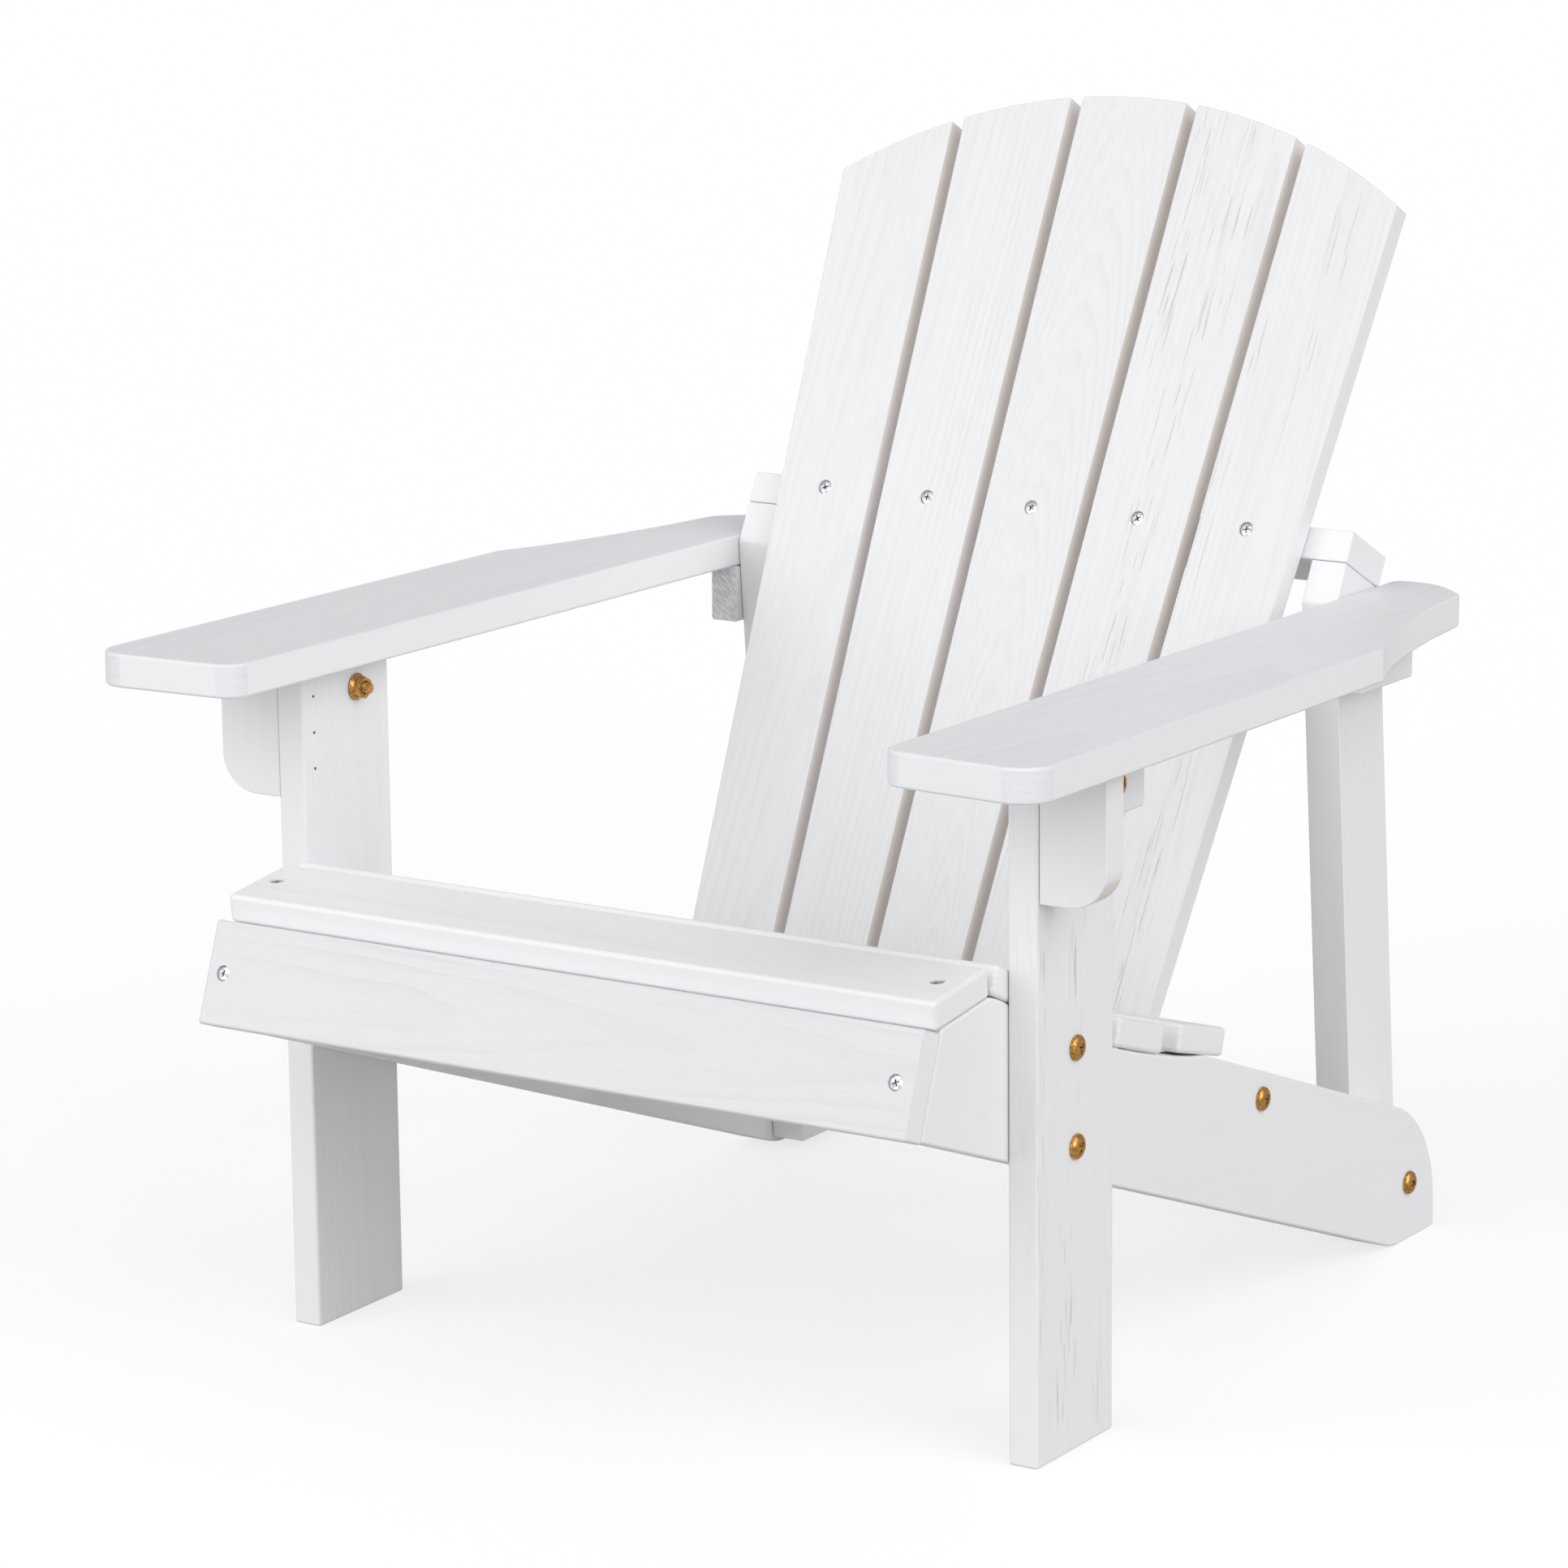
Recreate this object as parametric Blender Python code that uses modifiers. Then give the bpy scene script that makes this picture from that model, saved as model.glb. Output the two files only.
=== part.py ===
"""Child's adirondack chair: a screwed and bolted assembly of flat painted boards.

The chair faces -Y and stands on the plane Z = 0. Its middle plane is X = 0, and the sitter's left is +X.
The front faces of the front legs lie at Y = 0 while the chair is built, and the finished chair is then
slid along Y so that the origin is at the middle of the rectangle that the chair fills on the ground.
All sizes are metres and all angles are degrees until they are used.
"""

import math

import bmesh
import bpy
from mathutils import Matrix, Vector

# ---------------------------------------------------------------- clearances and edges
GAP = 0.0003                 # faces that touch are built this far apart
EASE = 0.0022                # chamfer on the boards' edges
ARC_STEP = math.radians(10)  # longest step of an arc
SCOOP_STEPS = 12             # straight steps along the seat scoop
SWEEP_STEPS = 7              # along the curved side of an armrest
ARCH_STEPS = 5               # across the arched top of a back slat
RESTING_STEPS = 24           # places where a seat slat is tried against the rails
CORNER_TRIES = 20            # rounds that settle a back slat's corner on the arch
BEVEL_ANGLE = 35             # sharper corners than this are eased
SHARP_ANGLE = 40             # flatter corners than this are shaded smooth
FLAT_ANGLE = 0.5             # faces this close to one plane become one face
WELD_DISTANCE = 0.00001

# ---------------------------------------------------------------- side rails
INSIDE_WIDTH = 0.3674        # clear width between the two side rails
RAIL_THICKNESS = 0.020
RAIL_WIDTH = 0.073           # across the rail, square to its long edges
RAIL_TILT = 20.4             # fall of the rail towards the back
RAIL_LENGTH = 0.5105         # along the bottom edge, front corner to foot
RAIL_OVERHANG = 0.077        # bottom front corner ahead of the front legs
RAIL_FOOT = 0.048            # length of the flat foot on the ground
TAIL_RADIUS = 0.065          # round top corner of the tail
HEEL_RADIUS = 0.045          # soft corner between bottom edge and foot
SCOOP_START = 0.0123         # seat scoop, measured from the ridge behind the front seat slat
SCOOP_LENGTH = 0.2133
SCOOP_DEPTH = 0.0078
RIDGE_SETBACK = 0.039        # ridge behind the rail's front end, along the rail
BROW_TILT = 7.0              # the front seat slat dips forwards by this much

# ---------------------------------------------------------------- seat
SEAT_SLAT_COUNT = 5
SEAT_SLAT_WIDTH = 0.048
SEAT_SLAT_THICKNESS = 0.0147
SEAT_SLAT_PITCH = 0.0642     # slats behind the ridge
RIDGE_GAP = 0.0005           # from the ridge to the slats on each side of it
APRON_HEIGHT = 0.0522
APRON_THICKNESS = 0.0155
APRON_DROP = 0.001           # the apron hangs this far below the rails

# ---------------------------------------------------------------- front legs and armrests
LEG_WIDTH = 0.072
LEG_THICKNESS = 0.016
ARM_HEIGHT = 0.360           # top of the armrest above the leg's front face
ARM_FALL = 0.9               # armrests drop slightly towards the back
ARM_THICKNESS = 0.017
ARM_FRONT_WIDTH = 0.085
ARM_TAIL_WIDTH = 0.0476
ARM_OVERHANG = 0.080         # inner front corner ahead of the legs
ARM_NOSE = 0.006             # the outer front corner is this much further forward
ARM_SHOULDER_BACK = 0.258    # where the broad part ends, behind the legs' front
ARM_TAIL_PAST_POST = 0.017   # inner rear corner behind the rear post
ARM_TAPER = 0.002            # the broad part narrows by this much towards the shoulder
ARM_ELBOW_OUT = 0.0165       # the outer side sweeps in from the shoulder past this corner
ARM_ELBOW_BACK = 0.042       # behind the shoulder
ARM_WAIST_OUT = 0.0045       # end of the sweep, outside the tail's side
ARM_WAIST_AHEAD = 0.056      # ahead of the rear end
ARM_CLIP = 0.019             # the tail's outer corner is cut off this far ahead of the rear end
ARM_POINT = 0.003            # middle of the rear end behind its inner corner
INNER_NOSE_RADIUS = 0.012
OUTER_NOSE_RADIUS = 0.017
SHOULDER_RADIUS = 0.005
ARM_CLIP_RADIUS = 0.012
ARM_POINT_RADIUS = 0.03
ARM_HEEL_RADIUS = 0.006
BRACKET_WIDTH = 0.036
BRACKET_THICKNESS = 0.016
BRACKET_DROP = 0.0665        # height of the gusset under the armrest
BRACKET_SETBACK = 0.001      # behind the leg's front face
BRACKET_RADIUS = 0.020
CLEAT_THICKNESS = 0.0165
CLEAT_HEIGHT = 0.031
REAR_CLEAT_LENGTH = 0.058

# ---------------------------------------------------------------- rear posts and back
POST_WIDTH = 0.0495
POST_THICKNESS = 0.020
POST_LEAN = 4.7              # top of the post leans forwards
POST_TAIL_SETBACK = 0.0035   # rear edge of the post ahead of the rail's end, at the ground
POST_FOOT_HEIGHT = 0.005
RECLINE = 28.2               # back from upright
CROSSBAR_THICKNESS = 0.017
CROSSBAR_DEPTH = 0.042
CROSSBAR_ABOVE_ARM = 0.0265  # its top front corner over the armrest's top at the front leg
CROSSBAR_BEHIND_POST = 0.022 # that corner behind the post's front face at the same height
BACK_SLAT_COUNT = 5
BACK_SLAT_THICKNESS = 0.013
BACK_SLAT_GAP = 0.0070
BACK_END_MARGIN = 0.0255     # crossbar end past the outer slat
BACK_FAN = 0.0265            # growth of the slat pitch per metre of back
BACK_RISE = 0.226            # top of the middle slat above the crossbar's top, along the back
BACK_ARCH_RADIUS = 0.305
LOWER_RAIL_WIDTH = 0.038
LOWER_RAIL_THICKNESS = 0.017
LOWER_RAIL_BELOW = 0.297     # its middle below the crossbar's middle, along the back
BACK_TOE = 0.008             # slats below the lower rail

# ---------------------------------------------------------------- fasteners
BOLT_RADIUS = 0.003
BOLT_HEAD_RADIUS = 0.0063
BOLT_HEAD_HEIGHT = 0.0037
BOLT_TIP = 0.003             # bolt end past its nut
DOME_SHAPE = ((0.0, 1.0), (0.52, 0.86), (0.86, 0.5), (1.0, 0.16))  # shares of the head's radius and height
NUT_HEIGHT = 0.006
NUT_FLANGE_RADIUS = 0.007
NUT_FLANGE_HEIGHT = 0.0013
NUT_CORNER_RADIUS = 0.0058
BARREL_RADIUS = 0.005
BARREL_LENGTH = 0.013
BARREL_INSET = 0.024         # barrel nut's axis in from the lower rail's end
BARREL_RISE = 0.006          # bolts and barrel nuts above the lower rail's middle
SCREW_RADIUS = 0.0019
SCREW_HEAD_RADIUS = 0.0036
SCREW_HEAD_HEIGHT = 0.0026
SCREW_SINK = 0.0014          # head below the board's face
SCREW_POINT = 0.004
FASTENER_CLEARANCE = 0.0003  # round every shank and head
BOLT_SIDES = 12
SCREW_SIDES = 12
LEG_BOLT_SPACING = 0.0484
POST_BOLT_HEIGHT = 0.0317
APRON_SCREW_LENGTH = 0.045
BACK_SCREW_LENGTH = 0.035
CROSSBAR_SCREW_LENGTH = 0.045

# ---------------------------------------------------------------- places across the chair
RAIL_INNER = INSIDE_WIDTH / 2
RAIL_OUTER = RAIL_INNER + RAIL_THICKNESS
RAIL_MIDDLE = (RAIL_INNER + RAIL_OUTER) / 2
LEG_INNER = RAIL_OUTER + GAP
LEG_OUTER = LEG_INNER + LEG_THICKNESS
POST_OUTER = RAIL_INNER - GAP
POST_INNER = POST_OUTER - POST_THICKNESS
POST_MIDDLE = (POST_INNER + POST_OUTER) / 2
ARM_INNER = POST_OUTER + GAP
BRACKET_INNER = LEG_OUTER + GAP
FRONT_CLEAT_OUTER = LEG_OUTER + GAP + CLEAT_THICKNESS
REAR_CLEAT_OUTER = POST_OUTER + GAP + CLEAT_THICKNESS

SIDES = (("left", 1), ("right", -1))
parts = bpy.data.collections.new("adirondack_chair")
cutters = bpy.data.collections.new("hole_cutters")


# ================================================================ side view geometry, as (y, z) pairs
def turned(angle):
    """Unit vector of the side view: 0 points backwards, 90 points up."""
    return Vector((math.cos(math.radians(angle)), math.sin(math.radians(angle))))


def meet(p, p_dir, q, q_dir):
    """Where two lines of the side view cross."""
    cross = p_dir.x * q_dir.y - p_dir.y * q_dir.x
    to_q = q - p
    return p + p_dir * ((to_q.x * q_dir.y - to_q.y * q_dir.x) / cross)


def at_height(point, direction, z):
    return point + direction * ((z - point.y) / direction.y)


def at_depth(point, direction, y):
    return point + direction * ((y - point.x) / direction.x)


RAIL_DOWN = turned(-RAIL_TILT)       # along the rail, towards its foot
RAIL_UP = turned(90 - RAIL_TILT)     # square to the rail
RAIL_NOSE = Vector((-RAIL_OVERHANG, RAIL_LENGTH * math.sin(math.radians(RAIL_TILT))))
RAIL_HEEL = RAIL_NOSE + RAIL_DOWN * RAIL_LENGTH
RAIL_END_Y = RAIL_HEEL.x + RAIL_FOOT
RIDGE = RAIL_NOSE + RAIL_UP * RAIL_WIDTH + RAIL_DOWN * RIDGE_SETBACK
RAIL_BROW = meet(RAIL_NOSE, RAIL_UP, RIDGE, turned(BROW_TILT))

ARM_BACK = turned(-ARM_FALL)
ARM_UP = turned(90 - ARM_FALL)
ARM_TOP = Vector((0.0, ARM_HEIGHT))
ARM_UNDER = ARM_TOP - ARM_UP * ARM_THICKNESS
ARM_SEAT = ARM_UNDER - ARM_UP * GAP  # where legs, brackets and cleats end

POST_UP = turned(90 + POST_LEAN)
POST_BACK = turned(POST_LEAN)
POST_REAR = Vector((RAIL_END_Y - POST_TAIL_SETBACK, 0.0))
POST_FRONT = POST_REAR - POST_BACK * POST_WIDTH

BACK_UP = turned(90 - RECLINE)
BACK_IN = turned(-RECLINE)           # through the back, towards the rear
CROSSBAR_CORNER = at_height(POST_FRONT, POST_UP, ARM_HEIGHT + CROSSBAR_ABOVE_ARM)
CROSSBAR_CORNER = CROSSBAR_CORNER + Vector((CROSSBAR_BEHIND_POST, 0.0))
CROSSBAR_MIDDLE = CROSSBAR_CORNER - BACK_UP * (CROSSBAR_THICKNESS / 2)
SLAT_MIDDLE = CROSSBAR_MIDDLE - BACK_IN * (GAP + BACK_SLAT_THICKNESS / 2)
LOWER_RAIL_FACE = CROSSBAR_MIDDLE - BACK_UP * LOWER_RAIL_BELOW
LOWER_RAIL_MIDDLE = LOWER_RAIL_FACE + BACK_IN * (LOWER_RAIL_THICKNESS / 2)
BACK_PITCH = (2 * (POST_OUTER - BACK_END_MARGIN) + BACK_SLAT_GAP) / BACK_SLAT_COUNT


def seat_profile(along):
    """Height of the rail's top edge over the straight edge, at a distance behind the ridge."""
    t = (along - SCOOP_START) / SCOOP_LENGTH
    if t <= 0 or t >= 1:
        return 0.0
    radius = (SCOOP_LENGTH ** 2 / 4 + SCOOP_DEPTH ** 2) / (2 * SCOOP_DEPTH)
    off_middle = (t - 0.5) * SCOOP_LENGTH
    return (radius - SCOOP_DEPTH) - math.sqrt(radius ** 2 - off_middle ** 2)


def rail_top(along):
    """Point of the rail's top edge at a distance behind the ridge."""
    return RIDGE + RAIL_DOWN * along + RAIL_UP * seat_profile(along)


# ================================================================ outlines
def fillet(before, corner, after, radius):
    """Points of the round corner between two straight edges."""
    to_before = (before - corner).normalized()
    to_after = (after - corner).normalized()
    half = to_before.angle(to_after) / 2
    tangent = radius / math.tan(half)
    centre = corner + (to_before + to_after).normalized() * (radius / math.sin(half))
    start = corner + to_before * tangent - centre
    sweep = (corner + to_after * tangent - centre).angle(start)
    turn = 1 if to_before.x * to_after.y - to_before.y * to_after.x < 0 else -1
    steps = max(2, math.ceil(sweep / ARC_STEP))
    return [centre + Matrix.Rotation(turn * sweep * i / steps, 2) @ start for i in range(steps + 1)]


def rounded(corners):
    """Outline of a polygon given as (point, corner radius) pairs."""
    outline = []
    for i, (corner, radius) in enumerate(corners):
        before = corners[i - 1][0]
        after = corners[(i + 1) % len(corners)][0]
        outline += fillet(before, corner, after, radius) if radius > 0 else [corner]
    return outline


# ================================================================ Blender helpers
def clear_scene():
    for obj in list(bpy.data.objects):
        bpy.data.objects.remove(obj, do_unlink=True)


def paint(name, colour, roughness, metallic):
    material = bpy.data.materials.new(name)
    material.use_nodes = True
    shader = material.node_tree.nodes["Principled BSDF"]
    shader.inputs["Base Color"].default_value = (*colour, 1.0)
    shader.inputs["Roughness"].default_value = roughness
    shader.inputs["Metallic"].default_value = metallic
    return material


def add_object(name, mesh, collection, matrix=Matrix.Identity(4)):
    obj = bpy.data.objects.new(name, mesh)
    obj.matrix_world = matrix
    collection.objects.link(obj)
    return obj


def frame(x_axis, y_axis, z_axis, origin):
    rotation = Matrix((x_axis, y_axis, z_axis)).transposed().to_4x4()
    return Matrix.Translation(origin) @ rotation


def side_vector(v):
    return Vector((0.0, v.x, v.y))


def lying_frame(middle, back, up, x=0.0):
    """Frame across the chair, at a point of the side view and a distance from the middle plane."""
    return frame((1, 0, 0), side_vector(back), side_vector(up), side_vector(middle) + Vector((x, 0, 0)))


def ease_edges(obj, width=EASE):
    bevel = obj.modifiers.new("eased_edges", "BEVEL")
    bevel.width = width
    bevel.segments = 1
    bevel.limit_method = "ANGLE"
    bevel.angle_limit = math.radians(BEVEL_ANGLE)


def evaluated_mesh(obj):
    mesh = bpy.data.meshes.new_from_object(obj.evaluated_get(bpy.context.evaluated_depsgraph_get()))
    mesh.name = obj.name
    return mesh


def weld(mesh):
    bm = bmesh.new()
    bm.from_mesh(mesh)
    bmesh.ops.remove_doubles(bm, verts=bm.verts, dist=WELD_DISTANCE)
    bmesh.ops.dissolve_limit(bm, angle_limit=math.radians(FLAT_ANGLE), verts=bm.verts, edges=bm.edges)
    bm.to_mesh(mesh)
    bm.free()


def board(name, size, matrix, material):
    """A straight board: a box of the given size, centred on the matrix."""
    bm = bmesh.new()
    bmesh.ops.create_cube(bm, size=1.0)
    bmesh.ops.scale(bm, vec=Vector(size), verts=bm.verts)
    mesh = bpy.data.meshes.new(name)
    bm.to_mesh(mesh)
    bm.free()
    mesh.materials.append(material)
    obj = add_object(name, mesh, parts, matrix)
    ease_edges(obj)
    return obj


def sawn_board(name, outline, thickness, matrix, material):
    """A board sawn to a flat outline, which lies in the matrix's XY plane at half the thickness."""
    curve = bpy.data.curves.new(name + "_outline", "CURVE")
    curve.dimensions = "2D"
    curve.fill_mode = "BOTH"
    curve.extrude = thickness / 2
    spline = curve.splines.new("POLY")
    spline.points.add(len(outline) - 1)
    for point, corner in zip(spline.points, outline):
        point.co = (corner.x, corner.y, 0.0, 1.0)
    spline.use_cyclic_u = True
    source = add_object(name + "_outline", curve, parts)
    bpy.context.view_layer.update()
    mesh = evaluated_mesh(source)
    mesh.name = name
    weld(mesh)
    bpy.data.objects.remove(source, do_unlink=True)
    mesh.materials.clear()
    mesh.materials.append(material)
    obj = add_object(name, mesh, parts, matrix)
    ease_edges(obj)
    return obj


def turned_mesh(name, profile, sides):
    """A body turned round Z from a profile of (radius, height) points, top to bottom."""
    bm = bmesh.new()
    verts = [bm.verts.new((radius, 0.0, height)) for radius, height in profile]
    for a, b in zip(verts, verts[1:]):
        bm.edges.new((a, b))
    mesh = bpy.data.meshes.new(name)
    bm.to_mesh(mesh)
    bm.free()
    obj = add_object(name, mesh, cutters)
    screw = obj.modifiers.new("turn", "SCREW")
    screw.steps = sides
    screw.render_steps = sides
    screw.use_merge_vertices = True
    screw.merge_threshold = WELD_DISTANCE
    bpy.context.view_layer.update()
    result = evaluated_mesh(obj)
    bpy.data.objects.remove(obj, do_unlink=True)
    result.shade_smooth()
    result.set_sharp_from_angle(angle=math.radians(SHARP_ANGLE))
    return result


def hardware(mesh, placed, material):
    """One object for each named place, all with the same mesh."""
    mesh.materials.clear()
    mesh.materials.append(material)
    return [add_object(name, mesh, parts, matrix) for name, matrix in placed.items()]


def hole_cutter(name, template, matrices):
    """One cutter that holds a copy of the template at each matrix."""
    bm = bmesh.new()
    for matrix in matrices:
        copy = template.copy()
        copy.transform(matrix)
        bm.from_mesh(copy)
        bpy.data.meshes.remove(copy)
    mesh = bpy.data.meshes.new(name)
    bm.to_mesh(mesh)
    bm.free()
    cutter = add_object(name, mesh, cutters)
    cutter.hide_render = True
    cutter.display_type = "WIRE"
    return cutter


def drill(pieces, cutter):
    for obj in pieces:
        boolean = obj.modifiers.new(cutter.name, "BOOLEAN")
        boolean.operation = "DIFFERENCE"
        boolean.solver = "EXACT"
        boolean.object = cutter


def facing(origin, direction):
    """Frame of a fastener whose head faces the direction, at the face it is driven into."""
    return Matrix.Translation(origin) @ direction.normalized().to_track_quat("Z", "Y").to_matrix().to_4x4()


# ================================================================ boards
def side_frame(x):
    """Outlines of the side view, as (y, z), stand in this frame."""
    return frame((0, 1, 0), (0, 0, 1), (1, 0, 0), (x, 0, 0))


def side_boards(name, outline, thickness, x, material):
    """A pair of boards that stand on edge at a distance from the middle plane."""
    return {
        side: sawn_board(f"{name}_{side}", outline, thickness, side_frame(sign * x), material)
        for side, sign in SIDES
    }


def make_rails(material):
    scoop = [rail_top(SCOOP_START + SCOOP_LENGTH * (1 - i / SCOOP_STEPS)) for i in range(SCOOP_STEPS + 1)]
    tail_corner = at_depth(RIDGE, RAIL_DOWN, RAIL_END_Y)
    foot_corner = Vector((RAIL_END_Y, 0.0))
    outline = [RAIL_NOSE]
    outline += fillet(RAIL_NOSE, RAIL_HEEL, foot_corner, HEEL_RADIUS)
    outline += [foot_corner]
    outline += fillet(foot_corner, tail_corner, RIDGE, TAIL_RADIUS)
    outline += scoop + [RIDGE, RAIL_BROW]
    return side_boards("side_rail", outline, RAIL_THICKNESS, RAIL_MIDDLE, material)


def make_legs(material):
    top_front = ARM_SEAT
    top_rear = at_depth(ARM_SEAT, ARM_BACK, LEG_WIDTH)
    outline = [Vector((0, 0)), Vector((LEG_WIDTH, 0)), top_rear, at_depth(top_front, ARM_BACK, 0.0)]
    return side_boards("front_leg", outline, LEG_THICKNESS, (LEG_INNER + LEG_OUTER) / 2, material)


def make_posts(material):
    under_crossbar = CROSSBAR_CORNER - BACK_UP * (CROSSBAR_THICKNESS + GAP)
    top_rear = meet(under_crossbar, BACK_IN, POST_REAR, POST_UP)
    bevel_foot = meet(CROSSBAR_CORNER, BACK_UP, POST_FRONT, POST_UP)
    outline = [
        at_height(POST_FRONT, POST_UP, POST_FOOT_HEIGHT),
        at_height(POST_REAR, POST_UP, POST_FOOT_HEIGHT),
        top_rear,
        under_crossbar,
        bevel_foot,
    ]
    return side_boards("rear_post", outline, POST_THICKNESS, POST_MIDDLE, material)


def post_middle(z):
    """Depth of the post's centre line at a height."""
    front = at_height(POST_FRONT, POST_UP, z)
    rear = at_height(POST_REAR, POST_UP, z)
    return (front.x + rear.x) / 2


def arm_outline():
    """Plan of the left armrest, as (x, distance behind the legs' front) pairs."""
    outer = ARM_INNER + ARM_FRONT_WIDTH
    tail = ARM_INNER + ARM_TAIL_WIDTH
    end = at_height(POST_REAR, POST_UP, ARM_HEIGHT).x + ARM_TAIL_PAST_POST
    shoulder = Vector((outer - ARM_TAPER, ARM_SHOULDER_BACK))
    waist = Vector((tail + ARM_WAIST_OUT, end - ARM_WAIST_AHEAD))
    elbow = Vector((tail + ARM_ELBOW_OUT, ARM_SHOULDER_BACK + ARM_ELBOW_BACK))
    sweep = []
    for i in range(1, SWEEP_STEPS):
        t = i / SWEEP_STEPS
        sweep.append(shoulder * (1 - t) ** 2 + elbow * (2 * t * (1 - t)) + waist * t ** 2)
    corners = [
        (Vector((ARM_INNER, -ARM_OVERHANG)), INNER_NOSE_RADIUS),
        (Vector((outer, -ARM_OVERHANG - ARM_NOSE)), OUTER_NOSE_RADIUS),
        (shoulder, SHOULDER_RADIUS),
        *[(point, 0) for point in sweep],
        (waist, 0),
        (Vector((tail, end - ARM_CLIP)), ARM_CLIP_RADIUS),
        (Vector(((ARM_INNER + tail) / 2, end + ARM_POINT)), ARM_POINT_RADIUS),
        (Vector((ARM_INNER, end)), ARM_HEEL_RADIUS),
    ]
    return rounded(corners)


def make_arms(material):
    outline = arm_outline()
    mirrored = [Vector((-p.x, p.y)) for p in reversed(outline)]
    middle = ARM_TOP - ARM_UP * (ARM_THICKNESS / 2)
    matrix = lying_frame(middle, ARM_BACK, ARM_UP)
    sawn_board("armrest_left", outline, ARM_THICKNESS, matrix, material)
    sawn_board("armrest_right", mirrored, ARM_THICKNESS, matrix, material)


def make_brackets(material):
    rear = BRACKET_SETBACK + BRACKET_THICKNESS
    top = at_depth(ARM_SEAT, ARM_BACK, rear).y
    bottom = top - BRACKET_DROP
    outer = BRACKET_INNER + BRACKET_WIDTH
    for side, sign in SIDES:
        corners = [
            (Vector((sign * BRACKET_INNER, top)), 0),
            (Vector((sign * BRACKET_INNER, bottom)), 0),
            (Vector((sign * outer, bottom)), BRACKET_RADIUS),
            (Vector((sign * outer, top)), 0),
        ]
        matrix = frame((1, 0, 0), (0, 0, 1), (0, -1, 0), (0, rear - BRACKET_THICKNESS / 2, 0))
        sawn_board("arm_bracket_" + side, rounded(corners), BRACKET_THICKNESS, matrix, material)


def cleat_frame(x, y):
    """Centre of a cleat that hangs under the armrest at a depth."""
    middle = at_depth(ARM_SEAT, ARM_BACK, y) - ARM_UP * (CLEAT_HEIGHT / 2)
    return lying_frame(middle, ARM_BACK, ARM_UP, x)


CLEAT_SWING = CLEAT_HEIGHT * math.sin(math.radians(ARM_FALL))  # a cleat leans by this much
FRONT_CLEAT_START = BRACKET_SETBACK + BRACKET_THICKNESS + CLEAT_SWING + GAP
FRONT_CLEAT_LENGTH = LEG_WIDTH - FRONT_CLEAT_START
FRONT_CLEAT_Y = FRONT_CLEAT_START + FRONT_CLEAT_LENGTH / 2
REAR_CLEAT_Y = post_middle(ARM_HEIGHT - ARM_THICKNESS - CLEAT_HEIGHT / 2)


def make_cleats(place, outer, length, y, material):
    size = (CLEAT_THICKNESS, length, CLEAT_HEIGHT)
    middle = outer - CLEAT_THICKNESS / 2
    return [
        board(f"{place}_arm_cleat_{side}", size, cleat_frame(sign * middle, y), material)
        for side, sign in SIDES
    ]


def resting_line(start, end):
    """Line on which a slat rests on the rails' top edge between two distances behind the ridge."""
    a, b = rail_top(start), rail_top(end)
    along = (b - a).normalized()
    up = Vector((-along.y, along.x))
    samples = [rail_top(start + (end - start) * i / RESTING_STEPS) for i in range(RESTING_STEPS + 1)]
    inside = [p for p in samples + [rail_top(SCOOP_START)] if a.x <= p.x <= b.x]
    lift = max((p - a).dot(up) for p in inside)
    return (a + b) / 2 + up * (lift + GAP), along, up


def seat_slat_frames():
    """Middle of each seat slat, front to back."""
    brow = (RIDGE - RAIL_BROW).normalized()
    brow_up = Vector((-brow.y, brow.x))
    front = RIDGE - brow * (RIDGE_GAP + SEAT_SLAT_WIDTH / 2) + brow_up * GAP
    lines = [(front, brow, brow_up)]
    for i in range(SEAT_SLAT_COUNT - 1):
        start = RIDGE_GAP + i * SEAT_SLAT_PITCH
        lines.append(resting_line(start, start + SEAT_SLAT_WIDTH))
    return [
        lying_frame(middle + up * (SEAT_SLAT_THICKNESS / 2), along, up) for middle, along, up in lines
    ]


def make_seat(material):
    size = (2 * RAIL_OUTER, SEAT_SLAT_WIDTH, SEAT_SLAT_THICKNESS)
    for i, matrix in enumerate(seat_slat_frames()):
        board(f"seat_slat_{i + 1}", size, matrix, material)


APRON_MIDDLE = (
    RAIL_NOSE + RAIL_UP * (APRON_HEIGHT / 2 - APRON_DROP) - RAIL_DOWN * (GAP + APRON_THICKNESS / 2)
)


def make_apron(material):
    matrix = lying_frame(APRON_MIDDLE, RAIL_DOWN, RAIL_UP)
    return board("apron", (2 * RAIL_OUTER, APRON_THICKNESS, APRON_HEIGHT), matrix, material)


def back_frame(origin):
    return lying_frame(origin, BACK_UP, -BACK_IN)


def make_back_rails(material):
    crossbar_centre = CROSSBAR_MIDDLE + BACK_IN * (CROSSBAR_DEPTH / 2)
    crossbar_size = (2 * POST_OUTER, CROSSBAR_THICKNESS, CROSSBAR_DEPTH)
    crossbar = board("back_crossbar", crossbar_size, back_frame(crossbar_centre), material)
    lower_size = (2 * (RAIL_INNER - GAP), LOWER_RAIL_WIDTH, LOWER_RAIL_THICKNESS)
    lower = board("lower_back_rail", lower_size, back_frame(LOWER_RAIL_MIDDLE), material)
    return crossbar, lower


def back_pitch(up):
    """Slat pitch at a distance up the back from the crossbar's middle."""
    return BACK_PITCH + BACK_FAN * up


def arch(x):
    """Height of the arched top over the crossbar's middle at a distance from the middle plane."""
    crown = BACK_RISE + CROSSBAR_THICKNESS / 2
    return crown - BACK_ARCH_RADIUS + math.sqrt(BACK_ARCH_RADIUS ** 2 - x ** 2)


def slat_edge(index, up, side):
    """X of a back slat's left (-1) or right (+1) edge."""
    pitch = back_pitch(up)
    middle = (index - (BACK_SLAT_COUNT - 1) / 2) * pitch
    return middle + side * (pitch - BACK_SLAT_GAP) / 2


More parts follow.
